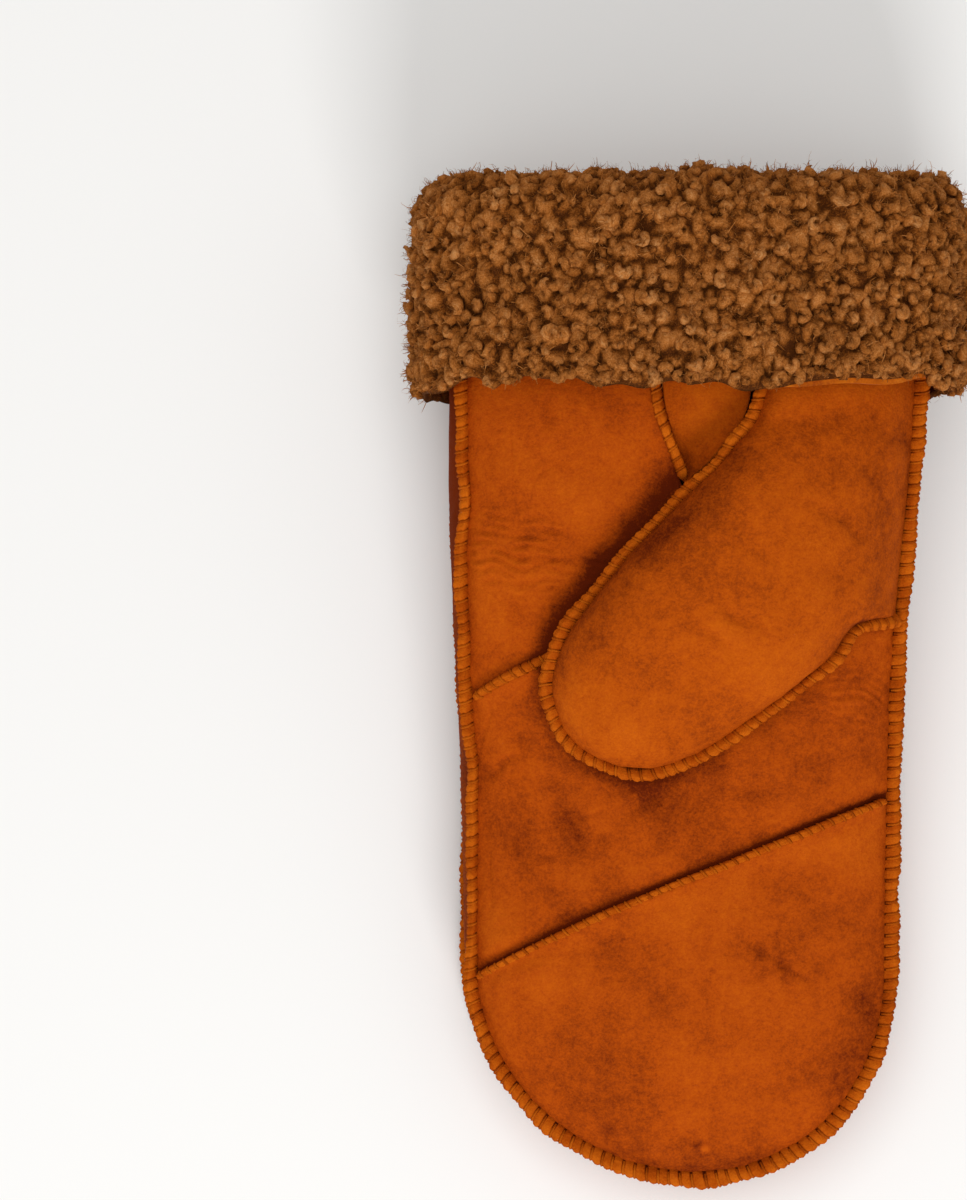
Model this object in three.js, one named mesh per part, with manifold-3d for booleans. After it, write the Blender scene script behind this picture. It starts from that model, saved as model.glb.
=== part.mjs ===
// A left-hand sheepskin mitten, skin side out, lying on the back of its hand with the palm up.
//
// The hand is a bag of leather panels: three across the palm, three across the back, and a side strip
// that goes round between them. The thumb is a pocket of two panels that lies over the palm. Every seam
// is sewn with its edges turned out, so it stands up as a rounded ridge. The top of the mitten is turned
// back on itself as a deep cuff, which has the fleece outside.
//
// Units are millimetres. +X is towards the thumb's side, +Y towards the cuff, and +Z up out of the palm.
// The origin is under the middle of the mitten, on the surface that it lies on.
import * as THREE from "three";
import Module from "manifold-3d";

// The hand.
const handLength = 226.5; // fingertip to the cuff's lower edge
const handWidth = 116; // side seam to side seam across the palm
const wristWidth = 125; // side seam to side seam where the hand goes into the cuff
const wristLift = 40; // height of the side strip's middle above the ground at the cuff's lower edge
const stripWidth = 24.4; // widest distance between the two seams of the side strip
const stripBulge = 1.2; // how far the side strip bows out
const palmCrown = 18; // how far the palm swells above its side seam
const backCrown = 17.4; // how far the back swells below its side seam
const skin = 2; // thickness of the leather
const seamGap = 0.3; // clearance between pieces that touch

// The thumb.
const thumbReach = 97; // the thumb's width across the hand
const thumbSpan = 100; // the thumb's length down the hand, from the cuff's lower edge
const thumbPuff = 23; // how far the thumb swells above the line across it
const thumbLift = 6; // how far the thumb's ridge stands above the palm
const valleyDepth = 5; // how far the leather dips between the palm and the thumb, near the cuff

// The raised seams.
const ridgeWidth = 4.2; // across a ridge that closes a corner
const ridgeHeight = 5.2; // how far such a ridge stands out
const flatRidgeWidth = 4.6; // across a ridge that lies on a face
const flatRidgeHeight = 3; // how far such a ridge stands up
const pressedRidge = 2.4; // thickness of a ridge that is pressed flat under the back
const stripJointAt = 48; // the side strip's joint, from the fingertip up the thumb's side

// The cuff.
const cuffHeight = 56.5; // lower edge to the top of the fleece
const cuffWidth = 155; // across the outside of the fleece
const cuffThickness = 83; // through the outside of the fleece, from the palm to the back
const cuffClearance = 3; // how far the turned-back leather stands off the side seams
const cuffSkinDepth = 60; // through the inside of the turned-back leather
const cuffFlare = 5; // how much further its lower edge stands off
const foldPile = 9; // fleece on top of the fold
const mouthPile = 6; // fleece round the inside of the mouth
const liningDepth = 33; // how far below the fold the inside fleece reaches
const lockHeight = 3; // how far a lock of fleece stands out of the hollows round it
const hemWave = 1.6; // how much the cuff's lower edge goes up and down

const wasm = await Module();
wasm.setup();

const { lerp, clamp, smoothstep, degToRad } = THREE.MathUtils;

const tipY = -(handLength + cuffHeight) / 2;
const cuffY = tipY + handLength;
const topY = cuffY + cuffHeight;
const tipRadius = handWidth / 2;
const knuckleY = tipY + ridgeHeight + tipRadius; // centre of the fingertip's arc
const foldY = topY - foldPile; // top of the folded leather
const panelTopY = foldY - skin - seamGap; // where the hand's own panels end, under the fold
const ridgeTopY = cuffY + cuffHeight * 0.12; // where the ridges end, hidden in the cuff

// A smooth curve through one column of a table, read against its rising key column.
function follow(table, key, column, at) {
  const last = table.length - 1;
  const x = clamp(at, table[0][key], table[last][key]);
  let i = 0;
  while (i < last - 1 && x > table[i + 1][key]) i += 1;
  const slope = (k) => {
    const before = table[Math.max(k - 1, 0)];
    const after = table[Math.min(k + 1, last)];
    return (after[column] - before[column]) / (after[key] - before[key]);
  };
  const from = table[i];
  const to = table[i + 1];
  const step = to[key] - from[key];
  const t = (x - from[key]) / step;
  const blend = t * t * (3 - 2 * t);
  const bend = t * (1 - t) * step * ((1 - t) * slope(i) - t * slope(i + 1));
  return lerp(from[column], to[column], blend) + bend;
}

// The hand's sections from the fingertip up, as shares. along: of handLength. drift: of handWidth, how
// far the middle lies to the thumb's side. rise: of wristLift. strip: of stripWidth. palm: of palmCrown.
// back: of backCrown.
const sections = [
  { along: 0, drift: 0.026, rise: 0.34, strip: 0.72, palm: 0.78, back: 0.37 },
  { along: 0.14, drift: 0, rise: 0.34, strip: 0.72, palm: 0.84, back: 0.37 },
  { along: 0.27, drift: -0.014, rise: 0.35, strip: 0.73, palm: 0.93, back: 0.36 },
  { along: 0.42, drift: -0.014, rise: 0.42, strip: 0.8, palm: 1, back: 0.33 },
  { along: 0.53, drift: -0.014, rise: 0.51, strip: 0.9, palm: 0.98, back: 0.36 },
  { along: 0.63, drift: -0.018, rise: 0.61, strip: 1, palm: 0.95, back: 0.42 },
  { along: 0.77, drift: -0.016, rise: 0.77, strip: 0.9, palm: 0.95, back: 0.78 },
  { along: 0.89, drift: -0.005, rise: 0.9, strip: 0.79, palm: 0.95, back: 0.92 },
  { along: 1, drift: 0, rise: 1, strip: 0.74, palm: 0.89, back: 1 },
  { along: 1.2, drift: 0, rise: 1.06, strip: 0.74, palm: 0.86, back: 0.92 },
];
const share = (y) => (y - tipY) / handLength;
const section = (column, y) => follow(sections, "along", column, share(y));
const middleX = (y) => handWidth * section("drift", y);
const stripZ = (y) => wristLift * section("rise", y);
const palmSeamZ = (y) => stripZ(y) + (stripWidth / 2) * section("strip", y);
const backSeamZ = (y) => stripZ(y) - (stripWidth / 2) * section("strip", y);

// Half the hand's width: straight sides that widen to the wrist, above the fingertip's half circle.
const sideX = (y) => lerp(handWidth, wristWidth, smoothstep(share(y), 0.45, 1.05)) / 2;

// How near a point is to the side seam: 0 on the hand's middle line, 1 on the seam.
function nearSeam(x, y) {
  if (y < knuckleY) return Math.hypot(x - middleX(y), y - knuckleY) / tipRadius;
  return Math.abs(x - middleX(y)) / sideX(y);
}

// The swell of a stuffed panel: 1 in the middle, falling steeply to 0 at its seam.
const swell = (near, square, round) => Math.max(1 - near ** square, 0) ** round;

// Dents and soft folds of the palm. x: of handWidth. y: of handLength, from the fingertip. long, wide:
// of handWidth. turn: degrees from the X axis. deep: of palmCrown.
const dents = [
  { x: -0.04, y: 0.69, long: 0.34, wide: 0.26, turn: 60, deep: 0.28 },
  { x: -0.27, y: 0.45, long: 0.26, wide: 0.11, turn: -58, deep: 0.15 },
  { x: 0.02, y: 0.5, long: 0.24, wide: 0.1, turn: -50, deep: 0.12 },
  { x: 0.24, y: 0.15, long: 0.22, wide: 0.12, turn: 55, deep: 0.1 },
];

function dentDepth(x, y) {
  return dents.reduce((sum, dent) => {
    const turn = degToRad(dent.turn);
    const dx = x - dent.x * handWidth;
    const dy = y - tipY - dent.y * handLength;
    const lengthwise = (dx * Math.cos(turn) + dy * Math.sin(turn)) / (dent.long * handWidth);
    const across = (dy * Math.cos(turn) - dx * Math.sin(turn)) / (dent.wide * handWidth);
    return sum + dent.deep * palmCrown * Math.exp(-(lengthwise ** 2) - across ** 2);
  }, 0);
}

// Height of the palm's outer face. The dents fade out towards the seam and inside the cuff.
function palmZ(x, y) {
  const near = nearSeam(x, y);
  const fade = swell(near, 4, 1) * (1 - smoothstep(y, cuffY - cuffHeight * 0.4, cuffY));
  const crown = palmCrown * section("palm", y) * swell(near, 2.2, 0.7);
  return palmSeamZ(y) + crown - dentDepth(x, y) * fade;
}

// The seams that cross the hand, from the outer side to the thumb's side. across: from -1 at the outer
// seam to 1 at the thumb's. along: of handLength, from the fingertip.
const palmCrease = [
  { across: -1, along: 0.614 },
  { across: -0.7, along: 0.658 },
  { across: -0.19, along: 0.705 },
  { across: 0.38, along: 0.721 },
  { across: 1, along: 0.714 },
];
const fingerSeam = [
  { across: -1, along: 0.267 },
  { across: -0.42, along: 0.344 },
  { across: 0.37, along: 0.428 },
  { across: 1, along: 0.491 },
];
const backSeam = [
  { across: -1, along: 0.32 },
  { across: 0, along: 0.43 },
  { across: 1, along: 0.56 },
];
const seamY = (seam, across) => tipY + handLength * follow(seam, "across", "along", across);
const acrossX = (across, y) => middleX(y) + across * sideX(y);

// How far the back is lifted off the ground by the pressed ridges under it.
function ridgeLift(x, y) {
  const across = clamp((x - middleX(y)) / sideX(y), -1, 1);
  const toCross = Math.abs(y - seamY(backSeam, across));
  const toMiddle = Math.hypot(x - middleX(y), Math.max(seamY(backSeam, 0) - y, 0));
  const reach = pressedRidge * 8;
  const flatPart = flatRidgeWidth;
  return (pressedRidge + seamGap) * (1 - smoothstep(Math.min(toCross, toMiddle), flatPart, reach));
}

// Height of the back's outer face. It hangs below the side seam and is pressed flat on the ground.
function backZ(x, y) {
  const hanging = backSeamZ(y) - backCrown * section("back", y) * swell(nearSeam(x, y), 3, 0.6);
  return Math.max(hanging, ridgeLift(x, y));
}

// The side seam in plan, from the cuff down the outer side (turn 0 to 1), round the fingertip (1 to 2)
// and back up the thumb's side (2 to 3).
function sideSeamAt(turn) {
  if (turn > 1 && turn < 2) {
    const y = knuckleY + tipRadius * Math.sin(Math.PI * turn);
    return new THREE.Vector2(middleX(y) + tipRadius * Math.cos(Math.PI * turn), y);
  }
  const y = turn <= 1 ? lerp(panelTopY, knuckleY, turn) : lerp(knuckleY, panelTopY, turn - 2);
  return new THREE.Vector2(acrossX(turn <= 1 ? -1 : 1, y), y);
}

// The same seam as a place and the way that faces out of the hand there.
function sideSeam(turn) {
  const small = 1e-3;
  const ahead = sideSeamAt(Math.min(turn + small, 3)).sub(sideSeamAt(Math.max(turn - small, 0)));
  ahead.normalize();
  return { place: sideSeamAt(turn), out: new THREE.Vector2(ahead.y, -ahead.x) };
}

// The turn at which the side seam reaches a height, on the outer side (-1) or the thumb's side (1).
function seamTurn(side, y) {
  const straight = (panelTopY - y) / (panelTopY - knuckleY);
  const round = 1 + Math.asin(clamp((knuckleY - y) / tipRadius, 0, 1)) / Math.PI;
  const turn = y < knuckleY ? round : straight;
  return side < 0 ? turn : 3 - turn;
}

// The thumb's rows, from inside the cuff down to its tip. Each runs from a place on the far ridge to one
// on the near side, which is the side seam and then the lower ridge. X: of thumbReach, from the hand's
// middle. Y: of thumbSpan down from the cuff's lower edge, or above it -1 at the panels' top. farLift,
// nearLift: of thumbLift. puff: of thumbPuff.
const thumbRows = [
  { at: 0, farX: 0.26, farY: -1, nearX: 0.72, nearY: -1, farLift: 0.1, nearLift: 0, puff: 0.12 },
  { at: 0.13, farX: 0.205, farY: 0, nearX: 0.72, nearY: 0, farLift: 0.35, nearLift: 0, puff: 0.36 },
  { at: 0.21, farX: 0.115, farY: 0.18, nearX: 0.72, nearY: 0.24, farLift: 0.6, nearLift: 0, puff: 0.62 },
  { at: 0.3, farX: -0.015, farY: 0.32, nearX: 0.72, nearY: 0.44, farLift: 0.8, nearLift: 0, puff: 0.86 },
  { at: 0.41, farX: -0.15, farY: 0.46, nearX: 0.7, nearY: 0.62, farLift: 1, nearLift: 0, puff: 1 },
  { at: 0.5, farX: -0.254, farY: 0.59, nearX: 0.5, nearY: 0.665, farLift: 1, nearLift: 0.6, puff: 0.9 },
  { at: 0.58, farX: -0.333, farY: 0.7, nearX: 0.425, nearY: 0.755, farLift: 1, nearLift: 0.8, puff: 0.8 },
  { at: 0.67, farX: -0.372, farY: 0.815, nearX: 0.31, nearY: 0.845, farLift: 1, nearLift: 0.8, puff: 0.7 },
  { at: 0.75, farX: -0.363, farY: 0.9, nearX: 0.213, nearY: 0.912, farLift: 1, nearLift: 0.8, puff: 0.6 },
  { at: 0.84, farX: -0.329, farY: 0.975, nearX: 0.085, nearY: 0.998, farLift: 1, nearLift: 0.85, puff: 0.46 },
  { at: 0.93, farX: -0.257, farY: 1.031, nearX: -0.02, nearY: 1.045, farLift: 1, nearLift: 0.9, puff: 0.28 },
  { at: 1, farX: -0.165, farY: 1.066, nearX: -0.115, nearY: 1.07, farLift: 1, nearLift: 1, puff: 0.08 },
];
const notchAt = 0.43; // the row where the near side leaves the side seam
const edgeInset = 0.985; // how near a panel comes to the side seam
const thumbY = (down) => cuffY - down * (down < 0 ? panelTopY - cuffY : thumbSpan);

// One end of a row of the thumb, on the far ridge or on the near side.
function thumbEdge(side, at) {
  const y = thumbY(follow(thumbRows, "at", side + "Y", at));
  const reach = thumbReach * follow(thumbRows, "at", side + "X", at);
  const x = middleX(y) + Math.min(reach, edgeInset * sideX(y));
  const lift = Math.max(follow(thumbRows, "at", side + "Lift", at), 0);
  return new THREE.Vector3(x, y, palmZ(x, y) + thumbLift * lift);
}

// The outer face of the thumb: across each row it swells between the far ridge and the near side.
function thumbFace(across, at) {
  const point = thumbEdge("far", at).lerp(thumbEdge("near", at), across);
  const puff = thumbPuff * Math.max(follow(thumbRows, "at", "puff", at), 0);
  point.z += puff * swell(Math.abs(2 * across - 1), 2.4, 0.62);
  return point;
}

// The ridge's own line: down the far side to the tip (path 0 to tipPath), then back up to the notch.
const tipPath = 0.66;
function thumbRim(path) {
  if (path < tipPath) return thumbEdge("far", path / tipPath);
  return thumbEdge("near", lerp(1, notchAt, (path - tipPath) / (1 - tipPath)));
}

// The line where the thumb's inner panel is sewn to the palm, matched to the ridge's path. x: of
// thumbReach. y: as in thumbRows. lean: how late the panel leaves the palm.
const thumbRoot = [
  { path: 0, x: -0.13, y: -1, lean: 3 },
  { path: 0.09, x: -0.101, y: 0, lean: 3 },
  { path: 0.2, x: -0.012, y: 0.28, lean: 1.6 },
  { path: 0.27, x: 0.03, y: 0.37, lean: 0.6 },
  { path: 0.38, x: 0.07, y: 0.48, lean: 0.5 },
  { path: 0.5, x: 0.115, y: 0.57, lean: 0.5 },
  { path: 0.66, x: 0.19, y: 0.622, lean: 0.5 },
  { path: 0.85, x: 0.36, y: 0.63, lean: 0.5 },
  { path: 1, x: 0.55, y: 0.63, lean: 0.5 },
];

// The face of the thumb's inner panel, from the palm (across 0) to the ridge (across 1). Near the cuff it
// dips in a valley; lower down it leaves the palm at once and hangs over it.
function thumbUnder(path, across) {
  const rim = thumbRim(path);
  const rootY = thumbY(follow(thumbRoot, "path", "y", path));
  const rootX = middleX(rootY) + thumbReach * follow(thumbRoot, "path", "x", path);
  const x = lerp(rootX, rim.x, across);
  const y = lerp(rootY, rim.y, across);
  const lift = Math.max(rim.z - palmZ(rim.x, rim.y) - skin - 2 * seamGap, 0);
  const valley = valleyDepth * smoothstep(path, 0.05, 0.14) * (1 - smoothstep(path, 0.13, 0.2));
  const dip = valley * Math.sin(Math.PI * across);
  const up = lift * across ** follow(thumbRoot, "path", "lean", path);
  return new THREE.Vector3(x, y, palmZ(x, y) + seamGap + up - dip);
}

function geometryOf(points, faces) {
  const geometry = new THREE.BufferGeometry().setFromPoints(points);
  geometry.setIndex(faces);
  geometry.computeVertexNormals();
  return geometry;
}

// A leather panel: a grid over its outer face, the same grid one thickness in, and walls round its edge.
// face(a, b) is a point for a and b from 0 to 1. Its outer side is where a crossed with b points. grow
// makes every side stand out by that much, for what has to keep clear of the panel.
function panelSolid({ face, columns, rows }, grow = 0) {
  const outer = [];
  const inner = [];
  const small = 1e-3;
  for (let j = 0; j <= rows; j += 1) {
    for (let i = 0; i <= columns; i += 1) {
      const a = i / columns;
      const b = j / rows;
      const alongA = face(Math.min(a + small, 1), b).sub(face(Math.max(a - small, 0), b)).normalize();
      const alongB = face(a, Math.min(b + small, 1)).sub(face(a, Math.max(b - small, 0))).normalize();
      const normal = alongA.clone().cross(alongB).normalize();
      const point = face(a, b);
      if (i === 0 || i === columns) point.addScaledVector(alongA, i === 0 ? -grow : grow);
      if (j === 0 || j === rows) point.addScaledVector(alongB, j === 0 ? -grow : grow);
      outer.push(point.clone().addScaledVector(normal, grow));
      inner.push(point.clone().addScaledVector(normal, -skin - grow));
    }
  }
  const count = outer.length;
  const at = (i, j) => j * (columns + 1) + i;
  const faces = [];
  const quad = (a, b, c, d) => faces.push(a, b, c, a, c, d);
  for (let j = 0; j < rows; j += 1) {
    for (let i = 0; i < columns; i += 1) {
      const [a, b, c, d] = [at(i, j), at(i + 1, j), at(i + 1, j + 1), at(i, j + 1)];
      quad(a, b, c, d);
      quad(count + d, count + c, count + b, count + a);
    }
  }
  for (let i = 0; i < columns; i += 1) {
    quad(at(i + 1, 0), at(i, 0), count + at(i, 0), count + at(i + 1, 0));
    quad(at(i, rows), at(i + 1, rows), count + at(i + 1, rows), count + at(i, rows));
  }
  for (let j = 0; j < rows; j += 1) {
    quad(at(0, j), at(0, j + 1), count + at(0, j + 1), count + at(0, j));
    quad(at(columns, j + 1), at(columns, j), count + at(columns, j), count + at(columns, j + 1));
  }
  return geometryOf([...outer, ...inner], faces);
}

// A closed profile of [side, out] points, carried along a path of { place, out } steps.
function sweep(steps, profile) {
  const points = [];
  const faces = [];
  const size = profile.length;
  steps.forEach((step, k) => {
    const before = steps[Math.max(k - 1, 0)].place;
    const after = steps[Math.min(k + 1, steps.length - 1)].place;
    const ahead = after.clone().sub(before).normalize();
    const out = step.out.clone().addScaledVector(ahead, -step.out.dot(ahead)).normalize();
    const side = ahead.clone().cross(out);
    profile.forEach(([s, o]) => {
      points.push(step.place.clone().addScaledVector(side, s).addScaledVector(out, o));
    });
    if (k === 0) return;
    for (let i = 0; i < size; i += 1) {
      const next = (i + 1) % size;
      const [a, b] = [(k - 1) * size + i, (k - 1) * size + next];
      const [c, d] = [k * size + next, k * size + i];
      faces.push(a, c, b, a, d, c);
    }
  });
  const end = (steps.length - 1) * size;
  for (let i = 1; i < size - 1; i += 1) {
    faces.push(0, i, i + 1);
    faces.push(end, end + i + 1, end + i);
  }
  return geometryOf(points, faces);
}

const aroundCount = 40; // steps round the cuff

// A loop of points carried all the way round. Each of its points is a function of around, from 0 to 1.
function sleeve(loop) {
  const points = [];
  const faces = [];
  const n = loop.length;
  for (let i = 0; i < aroundCount; i += 1) {
    for (let j = 0; j < n; j += 1) {
      points.push(loop[j](i / aroundCount));
      const [i2, j2] = [(i + 1) % aroundCount, (j + 1) % n];
      const [a, b] = [i * n + j, i2 * n + j];
      const [c, d] = [i2 * n + j2, i * n + j2];
      faces.push(a, b, c, a, c, d);
    }
  }
  return geometryOf(points, faces);
}

// A loop carried half way round, from one side of the hand to the other, with its two ends closed. The ends
// keep half a clearance from the middle: upward is 1 for the half on the palm, -1 for the half on the back.
function halfSleeve(upward, loop) {
  const points = [];
  const faces = [];
  const [steps, n] = [aroundCount / 2, loop.length];
  for (let i = 0; i <= steps; i += 1) {
    const around = (upward > 0 ? i : i + steps) / aroundCount;
    for (let j = 0; j < n; j += 1) {
      const point = loop[j](around);
      if (i === 0 || i === steps) point.z += (upward * seamGap) / 2;
      points.push(point);
      if (i === steps) continue;
      const [a, b] = [i * n + j, (i + 1) * n + j];
      const [c, d] = [(i + 1) * n + ((j + 1) % n), i * n + ((j + 1) % n)];
      faces.push(a, b, c, a, c, d);
    }
  }
  const last = steps * n;
  for (let i = 0; 2 * i < n - 2; i += 1) {
    const [a, b, c, d] = [i, i + 1, n - 2 - i, n - 1 - i];
    faces.push(a, c, d, last + a, last + d, last + c);
    if (b !== c) faces.push(a, b, c, last + a, last + c, last + b);
  }
  return geometryOf(points, faces);
}

function toManifold(geometry) {
  const vertProperties = geometry.getAttribute("position").array;
  const triVerts = Uint32Array.from(geometry.index.array);
  return new wasm.Manifold(new wasm.Mesh({ numProp: 3, vertProperties, triVerts }));
}

// A ridge is cut back so that it keeps its clearance from the panels that it sits on, and the largest
// piece of what is left is the ridge.
function fitted(geometry, panels) {
  const cut = panels.reduce(
    (left, panel) => left.subtract(toManifold(panelSolid(panel, seamGap))),
    toManifold(geometry),
  );
  const [largest] = cut.decompose().sort((a, b) => b.volume() - a.volume());
  const mesh = largest.getMesh();
  const fittedGeometry = new THREE.BufferGeometry();
  fittedGeometry.setAttribute("position", new THREE.BufferAttribute(mesh.vertProperties, 3));
  fittedGeometry.setIndex([...mesh.triVerts]);
  fittedGeometry.computeVertexNormals();
  return fittedGeometry;
}

const suede = new THREE.MeshStandardMaterial({ color: 0xae4a0e, roughness: 0.85, metalness: 0 });
const paleSuede = new THREE.MeshStandardMaterial({ color: 0xb75410, roughness: 0.85, metalness: 0 });
const sewnEdge = new THREE.MeshStandardMaterial({ color: 0xb8650f, roughness: 0.8, metalness: 0 });
const cuffLeather = new THREE.MeshStandardMaterial({ color: 0xb5701f, roughness: 0.85, metalness: 0 });
const fleece = new THREE.MeshStandardMaterial({ color: 0x7a4a22, roughness: 1, metalness: 0 });

const mitten = new THREE.Group();

function add(name, geometry, material) {
  const mesh = new THREE.Mesh(geometry, material);
  mesh.name = name;
  mitten.add(mesh);
}

// Shares that are closer together where a panel turns down at its edges, or at one edge.
const towardsBoth = (t) => (1 - Math.cos(Math.PI * t)) / 2;
const towardsEnd = (t) => Math.sin((Math.PI / 2) * t);

// The palm's upper panel, between the outer side seam and the thumb's root, above the crease.
const rootEnd = 0.3; // where the crease meets the thumb's root, across the hand
const rootInset = flatRidgeWidth / 4; // how far the panel stays back from the root, under the ridge
const rootRows = thumbRoot.slice(0, 7);
function rootX(y) {
  const down = y > cuffY ? (cuffY - y) / (panelTopY - cuffY) : (cuffY - y) / thumbSpan;
  return middleX(y) + thumbReach * follow(rootRows, "y", "x", down);
}
const palmUpper = {
  columns: 8,
  rows: 10,
  face: (a, b) => {
    const inward = 1 - towardsEnd(1 - a);
    const y = lerp(seamY(palmCrease, lerp(-1, rootEnd, inward)) + seamGap, panelTopY, b);
    const x = lerp(acrossX(-edgeInset, y), rootX(y) - rootInset, inward);
    return new THREE.Vector3(x, y, palmZ(x, y));
  },
};

// The palm's middle panel, between the crease and the finger seam, partly under the thumb.
const palmMiddle = {
  columns: 14,
  rows: 7,
  face: (a, b) => {
    const across = edgeInset * (2 * towardsBoth(a) - 1);
    const low = seamY(fingerSeam, across) + seamGap;
    const y = lerp(low, seamY(palmCrease, across) - seamGap, b);
    const x = acrossX(across, y);
    return new THREE.Vector3(x, y, palmZ(x, y));
  },
};

// A finger panel in plan: lines fan out from the seam across the hand to the seam round the fingertip.
function fingerPlan(seam, inset, a, b) {
  const corner = 0.97;
  const across = corner * (2 * a - 1);
  const top = seamY(seam, across * inset) - seamGap;
  const from = new THREE.Vector2(acrossX(across * inset, top), top);
  const turnFrom = seamTurn(-1, seamY(seam, -1));
  const turnTo = seamTurn(1, seamY(seam, 1));
  const edge = sideSeamAt(lerp(turnFrom, turnTo, (1 + across) / 2));
  const centre = new THREE.Vector2(middleX(edge.y), Math.max(edge.y, knuckleY));
  return from.lerp(centre.lerp(edge, inset), b);
}
const palmFinger = {
  columns: 16,
  rows: 8,
  face: (a, b) => {
    const plan = fingerPlan(fingerSeam, edgeInset, 1 - a, towardsEnd(b));
    return new THREE.Vector3(plan.x, plan.y, palmZ(plan.x, plan.y));
  },
};
const backInset = 1 - (skin + seamGap) / tipRadius; // the back's panels end inside the side strip
const backFinger = {
  columns: 14,
  rows: 8,
  face: (a, b) => {
    const plan = fingerPlan(backSeam, backInset, a, towardsEnd(b));
    return new THREE.Vector3(plan.x, plan.y, backZ(plan.x, plan.y));
  },
};

// The two long panels of the back, one on each side (-1 and 1) of the seam down its middle.
function backLong(side) {
  return {
    columns: 6,
    rows: 11,
    face: (a, b) => {
      const outward = towardsEnd(side < 0 ? 1 - a : a);
      const y = lerp(panelTopY, seamY(backSeam, side * backInset * outward) + seamGap, b);
      const x = lerp(middleX(y) + side * seamGap, acrossX(side * backInset, y), outward);
      return new THREE.Vector3(x, y, backZ(x, y));
    },
  };
}
const backOuter = backLong(-1);
const backThumbSide = backLong(1);

// The side strip, in two lengths that meet at a joint on the thumb's side.
const stripJoint = seamTurn(1, tipY + stripJointAt);
const turnsPerMillimetre = 1 / (Math.PI * tipRadius);
function strip(from, to, rows) {
  return {
    columns: 2,
    rows,
    face: (a, b) => {
      const { place, out } = sideSeam(lerp(from, to, b));
      const bow = stripBulge * Math.sin(Math.PI * a);
      const z = lerp(palmSeamZ(place.y) - seamGap, backSeamZ(place.y) + seamGap, a);
      return new THREE.Vector3(place.x + out.x * bow, place.y + out.y * bow, z);
    },
  };
}
const stripOuter = strip(0, stripJoint - seamGap * turnsPerMillimetre, 34);
const stripThumbSide = strip(stripJoint + seamGap * turnsPerMillimetre, 3, 14);

// The thumb's two panels.
const thumbOuter = {
  columns: 14,
  rows: 17,
  face: (a, b) => thumbFace(lerp(0.985, 0.015, towardsBoth(a)), lerp(0, 0.96, b)),
};
const rimInset = skin + 4 * seamGap; // how far the inner panel stays back from the thumb's ridge
const thumbInner = {
  columns: 24,
  rows: 5,
  face: (a, b) => {
    const path = lerp(0, 0.97, a);
    const width = thumbUnder(path, 0).distanceTo(thumbUnder(path, 1));
    const from = Math.min(skin / width, 0.3);
    return thumbUnder(path, lerp(from, Math.max(1 - rimInset / width, 2 * from), b));
  },
};

add("palm_upper_panel", panelSolid(palmUpper), suede);
add("palm_middle_panel", panelSolid(palmMiddle), suede);
add("palm_finger_panel", panelSolid(palmFinger), suede);
add("thumb_outer_panel", panelSolid(thumbOuter), suede);
add("thumb_inner_panel", panelSolid(thumbInner), suede);
add("back_outer_panel", panelSolid(backOuter), suede);
add("back_thumb_side_panel", panelSolid(backThumbSide), suede);
add("back_finger_panel", panelSolid(backFinger), suede);
add("side_strip_outer", panelSolid(stripOuter), paleSuede);
add("side_strip_thumb_side", panelSolid(stripThumbSide), paleSuede);

// A ridge's profile: a rounded back, and a base that reaches down as far as the panels let it.
const ridgeProfile = (width, height, foot) => [
  [-width * 0.4, foot],
  [width * 0.4, foot],
  [width / 2, height * 0.45],
  [width * 0.36, height * 0.88],
  [0, height],
  [-width * 0.36, height * 0.88],
  [-width / 2, height * 0.45],
];
const cornerProfile = ridgeProfile(ridgeWidth, ridgeHeight, seamGap);
const rimProfile = ridgeProfile(ridgeWidth, ridgeHeight, -seamGap);
const faceProfile = ridgeProfile(flatRidgeWidth, flatRidgeHeight, seamGap);
const pressedProfile = ridgeProfile(flatRidgeWidth, pressedRidge, 0);

// The ridges along the side strip's two edges, on the palm's side and on the back's.
const ridgeFrom = seamTurn(-1, ridgeTopY);
function sideRidge(seamZ, upward) {
  const count = 52;
  return Array.from({ length: count + 1 }, (_, k) => {
    const { place, out } = sideSeam(lerp(ridgeFrom, 3 - ridgeFrom, k / count));
    return {
      place: new THREE.Vector3(place.x, place.y, seamZ(place.y)),
      out: new THREE.Vector3(out.x, out.y, upward),
    };
  });
}
const strips = [stripOuter, stripThumbSide];
const palms = [palmUpper, palmMiddle, palmFinger, thumbOuter, thumbInner];
const backs = [backOuter, backThumbSide, backFinger];
const palmSide = sweep(sideRidge(palmSeamZ, 0.5), cornerProfile);
const backSide = sweep(sideRidge(backSeamZ, -0.3), cornerProfile);
add("palm_side_ridge", palmSide, sewnEdge);
add("back_side_ridge", backSide, sewnEdge);

// The ridge round the thumb stands up beside the valley and leans out over the palm lower down.
const thumbRidgeSteps = Array.from({ length: 33 }, (_, k) => {
  const path = lerp(0.07, 0.965, k / 32);
  const ahead = thumbRim(path + 0.01).sub(thumbRim(path - 0.01)).normalize();
  const upward = lerp(1.2, 0.4, smoothstep(path, 0.12, 0.3));
  return { place: thumbRim(path), out: new THREE.Vector3(ahead.y, -ahead.x, upward) };
});
add("thumb_ridge", fitted(sweep(thumbRidgeSteps, rimProfile), palms), sewnEdge);

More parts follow.
